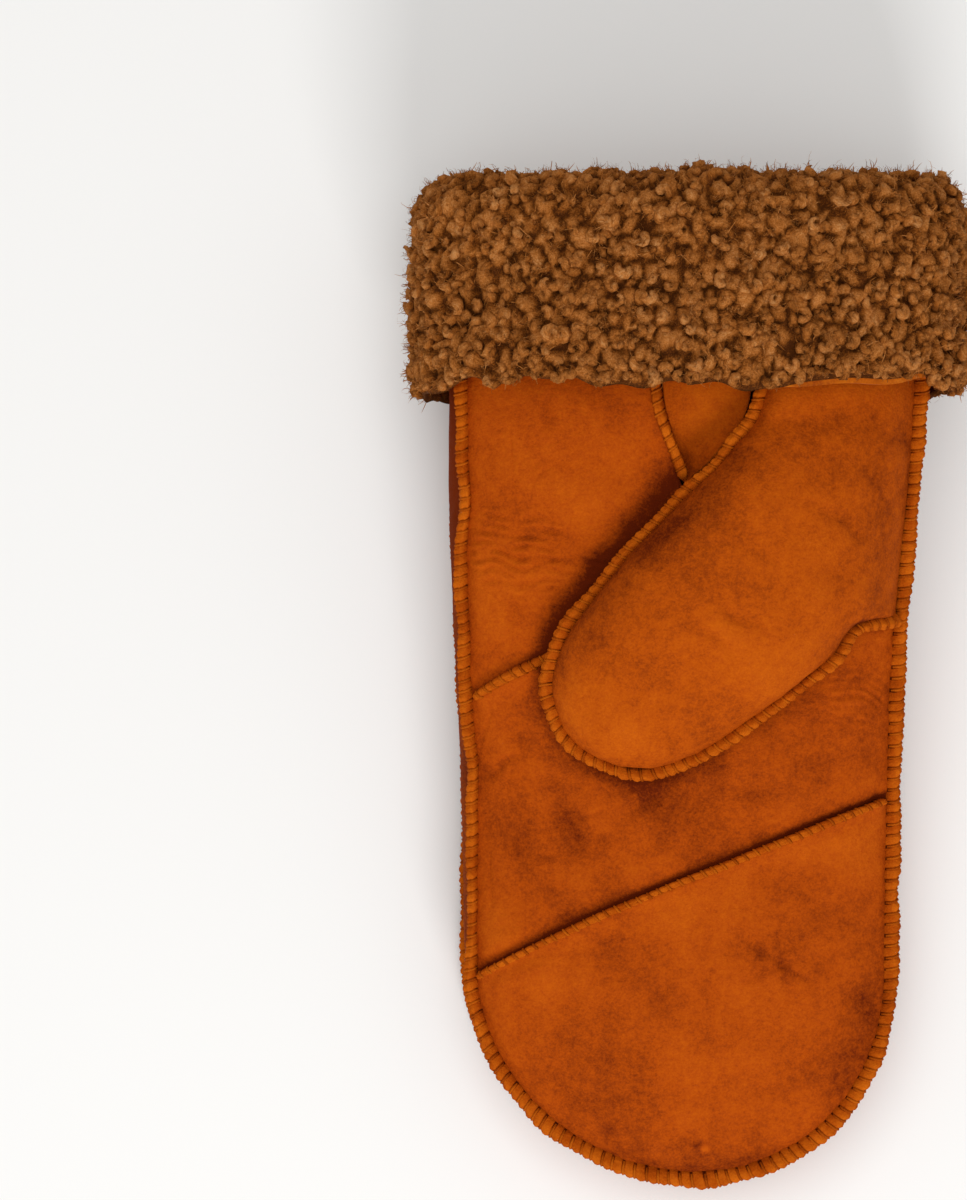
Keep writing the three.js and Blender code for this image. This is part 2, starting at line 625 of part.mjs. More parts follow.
// The ridges on the palm's face. Each is a line of places in plan, laid on the palm.
const onPalm = (x, y) => ({
  place: new THREE.Vector3(x, y, palmZ(x, y)),
  out: new THREE.Vector3(0, 0, 1),
});
function crossRidge(seam, from, to, count) {
  return Array.from({ length: count + 1 }, (_, k) => {
    const across = lerp(from, to, k / count);
    const y = seamY(seam, across);
    return onPalm(acrossX(across, y), y);
  });
}
const creaseEnd = -0.35; // where the thumb hides the crease
const creaseRidge = sweep(crossRidge(palmCrease, -0.93, creaseEnd, 7), faceProfile);
const fingerRidge = sweep(crossRidge(fingerSeam, -0.93, 0.93, 14), faceProfile);
add("palm_crease_ridge", fitted(creaseRidge, palms), sewnEdge);
add("palm_finger_ridge", fitted(fingerRidge, [palmMiddle, palmFinger]), sewnEdge);

const rootRidgeSteps = Array.from({ length: 7 }, (_, k) => {
  const y = lerp(ridgeTopY, thumbY(0.24), k / 6);
  return onPalm(rootX(y), y);
});
add("thumb_root_ridge", fitted(sweep(rootRidgeSteps, faceProfile), palms), sewnEdge);

// The ridges under the back are pressed flat: their flat side is on the ground where the back rests.
function underBack(x, y) {
  return { place: new THREE.Vector3(x, y, backZ(x, y) - seamGap), out: new THREE.Vector3(0, 0, -1) };
}
const backMiddleSteps = Array.from({ length: 13 }, (_, k) => {
  const y = lerp(ridgeTopY, seamY(backSeam, 0) + flatRidgeWidth, k / 12);
  return underBack(middleX(y), y);
});
const backCrossSteps = Array.from({ length: 15 }, (_, k) => {
  const across = lerp(-0.92, 0.92, k / 14);
  const y = seamY(backSeam, across);
  return underBack(acrossX(across, y), y);
});
add("back_middle_ridge", sweep(backMiddleSteps, pressedProfile), sewnEdge);
add("back_cross_ridge", sweep(backCrossSteps, pressedProfile), sewnEdge);

// The short ridge across the side strip, over its joint.
const jointRidgeSteps = Array.from({ length: 4 }, (_, k) => {
  const { place, out } = sideSeam(stripJoint);
  const z = lerp(backSeamZ(place.y) + ridgeWidth, palmSeamZ(place.y) - ridgeWidth, k / 3);
  return { place: new THREE.Vector3(place.x, place.y, z), out: new THREE.Vector3(out.x, out.y, 0) };
});
add("strip_joint_ridge", fitted(sweep(jointRidgeSteps, faceProfile), strips), sewnEdge);

// A point on an oval ring round the wrist, seen along the arm.
function ringPoint(around, halfX, halfZ, y, centreZ, square) {
  const angle = 2 * Math.PI * around;
  const bulge = (c) => Math.sign(c) * Math.abs(c) ** (2 / square);
  return new THREE.Vector3(halfX * bulge(Math.cos(angle)), y, centreZ + halfZ * bulge(Math.sin(angle)));
}

// The leather of the turned-back cuff: a sleeve that flares to its lower edge, and the fold over the top
// of the hand's own panels. It is in two halves, sewn together at the hand's sides. A loop point is on the
// sleeve, some way out of its inner face, or on the ring round the mouth.
const cuffCentreZ = cuffThickness / 2;
const cuffSquareness = 2.8;
const mouthSquareness = 2.1;
const flare = (y) => cuffFlare * (1 - smoothstep(y, cuffY, lerp(cuffY, foldY, 0.55)));
const hem = (around) => hemWave * Math.sin(6 * Math.PI * around + 1);

function sleevePoint(around, out, y) {
  const halfX = wristWidth / 2 + cuffClearance + out + flare(y);
  return ringPoint(around, halfX, cuffSkinDepth / 2 + out + flare(y), y, cuffCentreZ, cuffSquareness);
}
function mouthPoint(around, inward, y) {
  const inHand = Math.min(y, panelTopY);
  const top = palmZ(middleX(inHand), inHand) - skin - seamGap;
  const bottom = backZ(middleX(inHand), inHand) + skin + seamGap;
  const halfX = sideX(inHand) - skin - seamGap - inward;
  return ringPoint(around, halfX, (top - bottom) / 2 - inward, y, (top + bottom) / 2, mouthSquareness);
}

const hemY = (around) => cuffY + hem(around);
const cuffSkinLoop = [
  (around) => sleevePoint(around, 0, hemY(around)),
  (around) => sleevePoint(around, 0, lerp(cuffY, foldY, 0.3)),
  (around) => sleevePoint(around, 0, lerp(cuffY, foldY, 0.6)),
  (around) => sleevePoint(around, 0, foldY - skin),
  (around) => mouthPoint(around, 0, foldY - skin),
  (around) => mouthPoint(around, 0, foldY),
  (around) => sleevePoint(around, skin / 2, foldY),
  (around) => sleevePoint(around, skin, foldY - skin),
  (around) => sleevePoint(around, skin, lerp(cuffY, foldY, 0.6)),
  (around) => sleevePoint(around, skin, lerp(cuffY, foldY, 0.3)),
  (around) => sleevePoint(around, skin, hemY(around)),
];
add("cuff_skin_palm_half", halfSleeve(1, cuffSkinLoop), cuffLeather);
add("cuff_skin_back_half", halfSleeve(-1, cuffSkinLoop), cuffLeather);

// The fleece of the cuff, in locks: its outside goes in and out from one lock to the next. It goes over
// the fold and ends inside the mouth, and is pressed flat where it rests.
const locks = (around, row) => lockHeight * ((Math.round(around * aroundCount) + row) % 2);
function pilePoint(around, y, inward, row) {
  const inset = inward + locks(around, row);
  const halfX = cuffWidth / 2 - inset;
  const point = ringPoint(around, halfX, cuffCentreZ - inset, y, cuffCentreZ, cuffSquareness);
  point.z = Math.max(point.z, 0);
  return point;
}
const pileRow = (up, inward, row) => (around) =>
  pilePoint(around, lerp(cuffY, topY, up), inward, row);
const fleeceLoop = [
  (around) => sleevePoint(around, skin + seamGap, hemY(around) + hemWave),
  (around) => sleevePoint(around, skin + seamGap, lerp(cuffY, foldY, 0.3)),
  (around) => sleevePoint(around, skin + seamGap, lerp(cuffY, foldY, 0.6)),
  (around) => sleevePoint(around, skin + seamGap, foldY + seamGap),
  (around) => mouthPoint(around, seamGap, foldY + seamGap),
  (around) => mouthPoint(around, seamGap, foldY - skin),
  (around) => mouthPoint(around, mouthPile, foldY - skin),
  (around) => mouthPoint(around, mouthPile, foldY + foldPile * 0.4),
  (around) => mouthPoint(around, mouthPile * 0.3, topY - locks(around, 1) * 0.5),
  pileRow(1, 11, 0),
  pileRow(0.95, 4, 1),
  pileRow(0.84, 0.6, 0),
  pileRow(0.72, 0, 1),
  pileRow(0.6, 0, 0),
  pileRow(0.48, 0, 1),
  pileRow(0.36, 0, 0),
  pileRow(0.24, 0, 1),
  pileRow(0.12, 0, 0),
  pileRow(0.02, 1, 1),
];
add("cuff_fleece", sleeve(fleeceLoop), fleece);

// The fleece inside the mouth, on the inner side of the hand's leather.
const liningTopY = foldY - skin - seamGap;
const liningRow = (inward, down) => (around) =>
  mouthPoint(around, inward, liningTopY - liningDepth * down);
const liningLoop = [
  liningRow(seamGap, 0),
  liningRow(seamGap, 0.5),
  liningRow(seamGap, 1),
  liningRow(mouthPile, 1),
  liningRow(mouthPile, 0.5),
  liningRow(mouthPile, 0),
];
add("mouth_fleece", sleeve(liningLoop), fleece);

export default mitten;
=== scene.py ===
import bpy
import numpy as np
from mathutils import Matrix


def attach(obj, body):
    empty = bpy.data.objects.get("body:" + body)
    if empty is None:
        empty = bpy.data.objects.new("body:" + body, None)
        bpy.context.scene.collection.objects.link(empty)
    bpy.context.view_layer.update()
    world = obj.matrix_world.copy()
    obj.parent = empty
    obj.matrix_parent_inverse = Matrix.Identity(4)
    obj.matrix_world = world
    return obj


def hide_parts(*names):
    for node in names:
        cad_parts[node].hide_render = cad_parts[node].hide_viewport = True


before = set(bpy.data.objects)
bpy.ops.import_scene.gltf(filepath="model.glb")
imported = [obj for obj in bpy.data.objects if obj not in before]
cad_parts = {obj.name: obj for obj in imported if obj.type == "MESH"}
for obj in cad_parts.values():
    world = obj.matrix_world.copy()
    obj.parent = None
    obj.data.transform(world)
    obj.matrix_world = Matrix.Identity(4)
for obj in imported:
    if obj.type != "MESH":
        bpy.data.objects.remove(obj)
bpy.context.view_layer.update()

MM = 0.001

# The camera looks straight down on the palm. The mitten lies to the right of the middle of the picture,
# with its cuff up.
picture_width = 967  # the photograph, in pixels
picture_height = 1200
pixel = 0.28  # what one pixel of the photograph spans at the height of the palm
origin_across = 687  # the pixel that the mitten's origin is seen at
origin_down = 690
sight_height = 30  # the height at which that scale holds
camera_height = 1500
sensor_height = 36

camera = bpy.data.cameras.new("camera")
camera.sensor_width = sensor_height
camera.lens = sensor_height * (camera_height - sight_height) / (picture_height * pixel)
camera_object = bpy.data.objects.new("camera", camera)
camera_object.location = (
    (picture_width / 2 - origin_across) * pixel * MM,
    (origin_down - picture_height / 2) * pixel * MM,
    camera_height * MM,
)
bpy.context.collection.objects.link(camera_object)
bpy.context.scene.camera = camera_object

# Soft studio light on a pale floor: a lamp beyond the fingertips, a broad and even one overhead, and a
# pale room all round.


def lamp(name, place, size, watts):
    """An area lamp at a place in millimetres, turned to face the mitten."""
    light = bpy.data.lights.new(name, "AREA")
    light.size = size * MM
    light.energy = watts
    lamp_object = bpy.data.objects.new(name, light)
    lamp_object.location = [value * MM for value in place]
    towards = -lamp_object.location
    lamp_object.rotation_euler = towards.to_track_quat("-Z", "Y").to_euler()
    bpy.context.collection.objects.link(lamp_object)


lamp("key_lamp", place=(260, -1600, 1150), size=800, watts=22.5)
lamp("overhead_lamp", place=(-260, 260, 1500), size=1300, watts=9)

world = bpy.data.worlds.new("room")
world.use_nodes = True
room = world.node_tree.nodes["Background"]
room.inputs["Color"].default_value = (1, 0.98, 0.96, 1)
room.inputs["Strength"].default_value = 0.5
bpy.context.scene.world = world
bpy.context.scene.view_settings.view_transform = "Standard"

floor_reach = 2500
floor_mesh = bpy.data.meshes.new("floor")
corner_signs = ((-1, -1), (1, -1), (1, 1), (-1, 1))
floor_corners = [(x * floor_reach * MM, y * floor_reach * MM, 0) for x, y in corner_signs]
floor_mesh.from_pydata(floor_corners, [], [(0, 1, 2, 3)])
floor_paint = bpy.data.materials.new("floor_paint")
floor_paint.use_nodes = True
floor_shader = floor_paint.node_tree.nodes["Principled BSDF"]
floor_shader.inputs["Base Color"].default_value = (0.86, 0.86, 0.85, 1)
floor_shader.inputs["Roughness"].default_value = 0.9
floor_mesh.materials.append(floor_paint)
floor = bpy.data.objects.new("floor", floor_mesh)
bpy.context.collection.objects.link(floor)

# The hand. It is a bag of sheepskin panels with the suede side out: three across the palm, three across
# the back and a side strip between them, in two lengths. They are sewn with their edges turned out.
hand_length = 226.5  # fingertip to the cuff's lower edge
hand_width = 116  # side seam to side seam across the palm
wrist_width = 125  # side seam to side seam where the hand goes into the cuff
wrist_lift = 40  # height of the side strip's middle above the ground at the cuff's lower edge
strip_width = 24.4  # widest distance between the two seams of the side strip
palm_crown = 18  # how far the palm swells above its side seam
back_crown = 17.4  # how far the back swells below its side seam
skin = 2  # thickness of the leather
seam_gap = 0.3  # clearance between pieces that touch
pressed_ridge = 2.4  # thickness of a seam's ridge that is pressed flat under the back
flat_ridge_width = 4.6  # across a ridge that lies on a face
ridge_height = 5.2  # how far the ridge round the hand stands out
cuff_height = 56.5  # lower edge to the top of the fleece
fold_pile = 9  # fleece on top of the fold
tip_y = -(hand_length + cuff_height) / 2
cuff_y = tip_y + hand_length
top_y = cuff_y + cuff_height
tip_radius = hand_width / 2
knuckle_y = tip_y + ridge_height + tip_radius  # centre of the fingertip's arc
fold_y = top_y - fold_pile  # top of the folded leather
panel_top_y = fold_y - skin - seam_gap  # where the hand's own panels end, under the fold

# Shares of the sizes above: along of hand_length, drift of hand_width, rise of wrist_lift, strip of
# strip_width, palm of palm_crown and back of back_crown.
hand_sections = dict(
    along=(0, 0.14, 0.27, 0.42, 0.53, 0.63, 0.77, 0.89, 1, 1.2),
    drift=(0.026, 0, -0.014, -0.014, -0.014, -0.018, -0.016, -0.005, 0, 0),
    rise=(0.34, 0.34, 0.35, 0.42, 0.51, 0.61, 0.77, 0.9, 1, 1.06),
    strip=(0.72, 0.72, 0.73, 0.8, 0.9, 1, 0.9, 0.79, 0.74, 0.74),
    palm=(0.78, 0.84, 0.93, 1, 0.98, 0.95, 0.95, 0.95, 0.89, 0.86),
    back=(0.37, 0.37, 0.36, 0.33, 0.36, 0.42, 0.78, 0.92, 1, 0.92),
)
# Dents: place as shares of hand_width and hand_length, reach of hand_width, turn in degrees, depth of
# palm_crown.
palm_dents = (
    dict(x=-0.04, y=0.69, long=0.34, wide=0.26, turn=60, deep=0.28),
    dict(x=-0.27, y=0.45, long=0.26, wide=0.11, turn=-58, deep=0.15),
    dict(x=0.02, y=0.5, long=0.24, wide=0.1, turn=-50, deep=0.12),
    dict(x=0.24, y=0.15, long=0.22, wide=0.12, turn=55, deep=0.1),
)
# Seams across the hand: across from -1 at the outer seam to 1 at the thumb's, along of hand_length.
palm_crease = dict(across=(-1, -0.7, -0.19, 0.38, 1), along=(0.614, 0.658, 0.705, 0.721, 0.714))
finger_seam = dict(across=(-1, -0.42, 0.37, 1), along=(0.267, 0.344, 0.428, 0.491))
back_seam = dict(across=(-1, 0, 1), along=(0.32, 0.43, 0.56))


def cubic(t, step, start, end, start_slope, end_slope):
    """The cubic from a start value to an end value, with a given slope at each. T runs from 0 to 1 over the
    step between them."""
    blend = t * t * (3 - 2 * t)
    bend = t * (1 - t) * step * ((1 - t) * start_slope - t * end_slope)
    return start * (1 - blend) + end * blend + bend


def follow(table, key, column, at):
    """A smooth curve through one column, read against the rising key column. Between two rows it is the
    cubic that has, at each row, the slope from the row before it to the row after it."""
    keys = np.array(table[key], float)
    values = np.array(table[column], float)
    rows = np.arange(len(keys))
    before = np.maximum(rows - 1, 0)
    after = np.minimum(rows + 1, len(keys) - 1)
    slopes = (values[after] - values[before]) / (keys[after] - keys[before])
    x = np.clip(at, keys[0], keys[-1])
    i = np.clip(np.searchsorted(keys, x, side="right") - 1, 0, len(keys) - 2)
    step = keys[i + 1] - keys[i]
    return cubic((x - keys[i]) / step, step, values[i], values[i + 1], slopes[i], slopes[i + 1])


def smooth(x, low, high):
    """0 below low, 1 above high, and an S curve between them."""
    t = np.clip((x - low) / (high - low), 0, 1)
    return t * t * (3 - 2 * t)


def mix(a, b, t):
    """A straight blend from a to b."""
    return a + (b - a) * t


def section(column, y):
    """A column of the hand's sections, read by the place along the hand."""
    return follow(hand_sections, "along", column, (y - tip_y) / hand_length)


def middle_x(y):
    """The hand's middle line, which drifts to the side a little."""
    return hand_width * section("drift", y)


def palm_seam_z(y):
    """Height of the side strip's upper seam: the strip's middle plus half its width."""
    return wrist_lift * section("rise", y) + strip_width / 2 * section("strip", y)


def back_seam_z(y):
    """Height of the side strip's lower seam: the strip's middle less half its width."""
    return wrist_lift * section("rise", y) - strip_width / 2 * section("strip", y)


def side_x(y):
    """Half the hand's width, which grows from the palm to the wrist."""
    return mix(hand_width, wrist_width, smooth((y - tip_y) / hand_length, 0.45, 1.05)) / 2


def near_seam(x, y):
    """0 on the hand's middle line and 1 on the side seam."""
    round_tip = np.hypot(x - middle_x(y), y - knuckle_y) / tip_radius
    return np.where(y < knuckle_y, round_tip, np.abs(x - middle_x(y)) / side_x(y))


def swell(near, square, fall):
    """The rise of a stuffed panel: 1 in the middle, falling steeply to 0 at its seam."""
    return np.maximum(1 - near**square, 0) ** fall


def bell(dx, dy, long, wide, degrees):
    """1 at a spot, fading like a bell curve over its length and its width, which are turned in plan."""
    turn = np.radians(degrees)
    lengthwise = (dx * np.cos(turn) + dy * np.sin(turn)) / long
    crosswise = (dy * np.cos(turn) - dx * np.sin(turn)) / wide
    return np.exp(-(lengthwise**2) - crosswise**2)


def palm_z(x, y):
    """The palm's outer face: a stuffed panel above its side seam, less its dents."""
    near = near_seam(x, y)
    hollow = 0
    for dent in palm_dents:
        dx = x - dent["x"] * hand_width
        dy = y - tip_y - dent["y"] * hand_length
        spread = bell(dx, dy, dent["long"] * hand_width, dent["wide"] * hand_width, dent["turn"])
        hollow = hollow + dent["deep"] * palm_crown * spread
    fade = swell(near, 4, 1) * (1 - smooth(y, cuff_y - cuff_height * 0.4, cuff_y))
    return palm_seam_z(y) + palm_crown * section("palm", y) * swell(near, 2.2, 0.7) - hollow * fade


def seam_y(seam, across):
    """Where a seam across the hand runs, for a share of the half width."""
    return tip_y + hand_length * follow(seam, "across", "along", across)


def across_x(across, y):
    """A share of the half width, as a place in plan."""
    return middle_x(y) + across * side_x(y)


def back_z(x, y):
    """The back's outer face: it hangs below the side seam, and is pressed flat on the ground except where
    the ridges of its seams lie under it."""
    across = np.clip((x - middle_x(y)) / side_x(y), -1, 1)
    to_cross = np.abs(y - seam_y(back_seam, across))
    to_middle = np.hypot(x - middle_x(y), np.maximum(seam_y(back_seam, 0) - y, 0))
    lifted = 1 - smooth(np.minimum(to_cross, to_middle), flat_ridge_width, pressed_ridge * 8)
    hanging = back_seam_z(y) - back_crown * section("back", y) * swell(near_seam(x, y), 3, 0.6)
    return np.maximum(hanging, (pressed_ridge + seam_gap) * lifted)


def side_seam_at(turn):
    """The side seam in plan: down the outer side for turn 0 to 1, a half circle round the fingertip for 1
    to 2, and up the thumb's side for 2 to 3."""
    round_y = knuckle_y + tip_radius * np.sin(np.pi * np.clip(turn, 1, 2))
    round_x = middle_x(round_y) + tip_radius * np.cos(np.pi * np.clip(turn, 1, 2))
    down_y = mix(panel_top_y, knuckle_y, turn)
    up_y = mix(knuckle_y, panel_top_y, turn - 2)
    straight_y = np.where(turn <= 1, down_y, up_y)
    straight_x = across_x(np.where(turn <= 1, -1, 1), straight_y)
    on_arc = (turn > 1) & (turn < 2)
    return np.where(on_arc, round_x, straight_x), np.where(on_arc, round_y, straight_y)


def side_seam(turn):
    """The side seam's place in plan, and the way that faces out of the hand there."""
    small = 1e-3
    x1, y1 = side_seam_at(np.minimum(turn + small, 3))
    x0, y0 = side_seam_at(np.maximum(turn - small, 0))
    length = np.hypot(x1 - x0, y1 - y0)
    x, y = side_seam_at(turn)
    return x, y, (y1 - y0) / length, (x0 - x1) / length


def seam_turn(side, y):
    """The turn at which the side seam is at a height, on the outer side (-1) or the thumb's side (1)."""
    straight = (panel_top_y - y) / (panel_top_y - knuckle_y)
    arc = 1 + np.arcsin(np.clip((knuckle_y - y) / tip_radius, 0, 1)) / np.pi
    turn = np.where(y < knuckle_y, arc, straight)
    return turn if side < 0 else 3 - turn


def waves(points, length, seed):
    """Smooth noise, mostly between -1 and 1: a sum of sines that run through space in random directions,
    each with a wavelength near the given length."""
    random = np.random.default_rng(seed)
    ways = random.normal(size=(10, 3))
    ways /= np.linalg.norm(ways, axis=1)[:, None]
    ways *= 2 * np.pi / (length * random.uniform(0.7, 1.5, (10, 1)))
    return np.sin(points @ ways.T + random.uniform(0, 2 * np.pi, 10)).sum(axis=-1) / 4.5


def outward_of(sheet):
    """Unit normals of a grid of points: its slope along a row crossed with its slope along a column."""
    normal = np.cross(np.gradient(sheet, axis=1), np.gradient(sheet, axis=0))
    return normal / np.maximum(np.linalg.norm(normal, axis=-1, keepdims=True), 1e-12)


def rim_distance(sheet):
    """How far each point of a grid is from the grid's nearest edge, measured along its row or column."""
    nearest = None
    for axis in (0, 1):
        steps = np.linalg.norm(np.diff(sheet, axis=axis), axis=-1)
        run = np.cumsum(np.insert(steps, 0, 0, axis=axis), axis=axis)
        whole = run.take([-1], axis=axis)
        here = np.minimum(run, whole - run)
        nearest = here if nearest is None else np.minimum(nearest, here)
    return nearest


# Creases of the palm and the thumb, each from one place to another in plan, with its depth and width.
worn_creases = (
    dict(start=(-61, -24.5), end=(-46.5, -18.5), deep=0.8, wide=1.6),
    dict(start=(-46.5, -18.5), end=(-46, -3), deep=0.6, wide=2.2),
    dict(start=(-44, -20), end=(-25, -48), deep=0.9, wide=3.4),
    dict(start=(-21, -37), end=(-5, -27), deep=0.7, wide=3),
    dict(start=(-36, -28), end=(-18, -50), deep=0.5, wide=1.5),
    dict(start=(-12, -38), end=(8, -56), deep=0.5, wide=2.4),
    dict(start=(14, -68), end=(38, -84), deep=0.8, wide=1.6),
    dict(start=(26, -62), end=(27, -92), deep=0.6, wide=1.4),
    dict(start=(12, -82), end=(40, -72), deep=0.5, wide=1.3),
    dict(start=(-40, 82), end=(-39, 70), deep=0.5, wide=1.2),
    dict(start=(-57, 44), end=(-26, 41), deep=0.5, wide=1.1),
    dict(start=(-55, 37), end=(-22, 36), deep=0.55, wide=1.2),
    dict(start=(-58, 30), end=(-30, 29), deep=0.5, wide=1.1),
    dict(start=(4, 29), end=(20, 14), deep=0.8, wide=1.8),
    dict(start=(-4, 22), end=(14, 8), deep=0.6, wide=1.6),
    dict(start=(30, 52), end=(52, 40), deep=0.7, wide=1.8),
)
# Bands of close fine wrinkles, where the leather bends again and again.
wrinkle_bands = (
    dict(x=-46, y=38, long=22, wide=11, turn=-10, pitch=2.7, deep=0.6),
    dict(x=0, y=-32, long=11, wide=15, turn=-56, pitch=2.6, deep=0.3),
    dict(x=50, y=-3, long=12, wide=7, turn=-12, pitch=2.4, deep=0.36),
    dict(x=-38, y=-40, long=9, wide=18, turn=-62, pitch=3.2, deep=0.3),
    dict(x=26, y=-76, long=15, wide=8, turn=28, pitch=2.6, deep=0.2),
    dict(x=44, y=56, long=14, wide=14, turn=70, pitch=3, deep=0.2),
)


def thin_lines(points, length, thinness, seed):
    """1 on the thin lines where a noise crosses zero, and fading to 0 beside them like a bell curve."""
    return np.exp(-((waves(points, length, seed) / thinness) ** 2))


def wrinkles(points, seed):
    """The wrinkled bands: sine waves across each band, bent by one noise and broken up by another."""
    total = 0
    wander = 1.3 * waves(points, 12, seed)
    broken = smooth(waves(points, 7, seed + 1), -0.7, 0.6)
    for band in wrinkle_bands:
        dx, dy = points[..., 0] - band["x"], points[..., 1] - band["y"]
        turn = np.radians(band["turn"])
        crosswise = dy * np.cos(turn) - dx * np.sin(turn) + wander
        ripple = np.sin(2 * np.pi * crosswise / band["pitch"])
        reach = bell(dx, dy, band["long"], band["wide"], band["turn"])
        total = total + band["deep"] * ripple * broken * reach
    return total


def creases(points, seed):
    """The depth of the named creases: bell-shaped grooves that wander a little and taper to both ends."""
    total = 0
    wander = 1.6 * np.stack([waves(points, 11, seed), waves(points, 11, seed + 1)], axis=-1)
    for crease in worn_creases:
        start = np.array(crease["start"], float)
        run = np.array(crease["end"], float) - start
        offset = points[..., :2] + wander - start
        along = np.clip(offset @ run / (run @ run), 0, 1)
        gap = np.linalg.norm(offset - along[..., None] * run, axis=-1)
        taper = np.sin(np.pi * np.clip(along, 0.04, 0.96))
        total = total + crease["deep"] * taper * np.exp(-((gap / crease["wide"]) ** 2))
    return total


wear_margin = 7  # the wear fades out over this distance from a seam
pucker_margin = 3.2  # and the small puckers of the sewing over this one
pucker_length = 4.6
pucker_depth = 0.2


def worn_relief(points, rim, seed):
    """How far worn suede stands off its smooth form: slow swells, soft ripples, coarse and fine wandering
    creases, the creases named above, and the wrinkled bands. All of it fades out at the seams, where close
    small puckers take its place."""
    slow = 0.6 * waves(points, 46, seed) + 0.28 * waves(points, 15, seed + 1)
    bent = points + 4 * np.stack([waves(points, 26, seed + 2 + k) for k in range(3)], axis=-1)
    coarse = 0.26 * thin_lines(bent, 19, 0.085, seed + 5) * smooth(waves(points, 34, seed + 6), -0.1, 0.5)
    fine = 0.12 * thin_lines(bent, 8, 0.16, seed + 7) * smooth(waves(points, 27, seed + 8), -0.2, 0.5)
    worn = slow - coarse - fine + wrinkles(points, seed + 12) - creases(points, seed + 9)
    pucker = pucker_depth * waves(points, pucker_length, seed + 11) * np.exp(-rim / pucker_margin)
    return worn * smooth(rim, 0.5, wear_margin) + pucker * smooth(rim, 0, 1)


def finish_mesh(name, points, faces, shades, material):
    """A shown mesh of points in millimetres and lists of corners, smooth shaded, with a number or a vector
    for each point under each of the names in shades. It rides on the mitten's one body."""
    mesh = bpy.data.meshes.new(name)
    mesh.from_pydata((points * MM).tolist(), [], faces)
    mesh.polygons.foreach_set("use_smooth", np.ones(len(faces), bool))
    for shade, values in shades.items():
        kind, slot = ("FLOAT", "value") if values.ndim == 1 else ("FLOAT_VECTOR", "vector")
        mesh.attributes.new(shade, kind, "POINT").data.foreach_set(slot, values.astype(np.float32).ravel())
    mesh.materials.append(material)
    mesh.validate()
    piece = bpy.data.objects.new(name, mesh)
    bpy.context.collection.objects.link(piece)
    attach(piece, "root")
    return piece


def grid_faces(rows, columns, wrap_rows=False, wrap_columns=False):
    """Four-cornered faces between neighbouring points of a grid that is stored row by row."""
    j = np.arange(rows if wrap_rows else rows - 1)[:, None]
    i = np.arange(columns if wrap_columns else columns - 1)[None, :]
    j2, i2 = (j + 1) % rows, (i + 1) % columns
    corners = (j * columns + i, j * columns + i2, j2 * columns + i2, j2 * columns + i)
    return np.stack([c.ravel() for c in np.broadcast_arrays(*corners)], axis=1)


inner_step = 4  # the inside of a panel has every fourth line of the grid of its outside


def clean(points):
    """Leather with no patches and no painted shadow."""
    return np.zeros(points.shape[:-1])


def patch_tone(points, patches):
    """How much darker the leather is in its patches, which are mottled by a noise. Some are worn patches and
    some are painted shade.
    """
    tone = np.zeros(points.shape[:-1])
    for patch in patches:
        dx, dy = points[..., 0] - patch["x"], points[..., 1] - patch["y"]
        tone += patch["dark"] * bell(dx, dy, patch["long"], patch["wide"], patch["turn"])
    return tone * (1 + 0.3 * waves(points, 8, 51))


def leather_wall(name, node, face, columns, rows, relief, material, tone=clean):
    """A closed piece of sheepskin. Its suede side is face(a, b) on a fine grid, moved along its normals by
    the relief. Its woolly inner side lies one thickness further in, on a coarser grid, and many-cornered
    faces along the rim join the two."""
    a, b = np.meshgrid(np.linspace(0, 1, columns + 1), np.linspace(0, 1, rows + 1))
    form = face(a, b)
    rim = rim_distance(form)
    raised = relief(form, rim)
    sheet = form + outward_of(form) * raised[..., None]
    inside = (sheet - skin * outward_of(sheet))[::inner_step, ::inner_step]
    count = (rows + 1) * (columns + 1)
    outer = np.arange(count).reshape(rows + 1, columns + 1)
    inner = count + np.arange(inside.shape[0] * inside.shape[1]).reshape(inside.shape[:2])
    faces = grid_faces(rows + 1, columns + 1).tolist()
    first_inner = len(faces)
    faces += (count + grid_faces(*inside.shape[:2])[:, ::-1]).tolist()
    first_rim = len(faces)
    for fine, coarse, ahead in (
        (outer[0], inner[0], False),
        (outer[-1], inner[-1], True),
        (outer[:, 0], inner[:, 0], True),
        (outer[:, -1], inner[:, -1], False),
    ):
        spans = np.arange(len(coarse) - 1)[:, None] * inner_step + np.arange(inner_step + 1)
        closing = np.stack([coarse[1:], coarse[:-1]], axis=1)
        polygons = np.hstack([fine[spans], closing])
        faces += (polygons if ahead else polygons[:, ::-1]).tolist()
    points = np.concatenate([sheet.reshape(-1, 3), inside.reshape(-1, 3)])
    padding = np.zeros(len(points) - count)
    # The tone below holds worn patches and painted shadow alike.
    shades = dict(
        rim=np.concatenate([rim.ravel(), padding]),
        relief=np.concatenate([raised.ravel(), padding]),
        stain_and_shadow=np.concatenate([tone(form).ravel(), padding]),
    )
    piece = finish_mesh(name, points, faces, shades, material)
    piece.data.materials.append(inner_wool)
    woolly = np.zeros(len(faces), np.int32)
    woolly[first_inner:first_rim] = 1
    piece.data.polygons.foreach_set("material_index", woolly)
    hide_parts(node)
    return piece


def colour(red, green, blue):
    """A screen colour from 0 to 255 as the light that it stands for."""
    screen = np.array([red, green, blue]) / 255
    light = np.where(screen <= 0.04045, screen / 12.92, ((screen + 0.055) / 1.055) ** 2.4)
    return (*light.tolist(), 1.0)


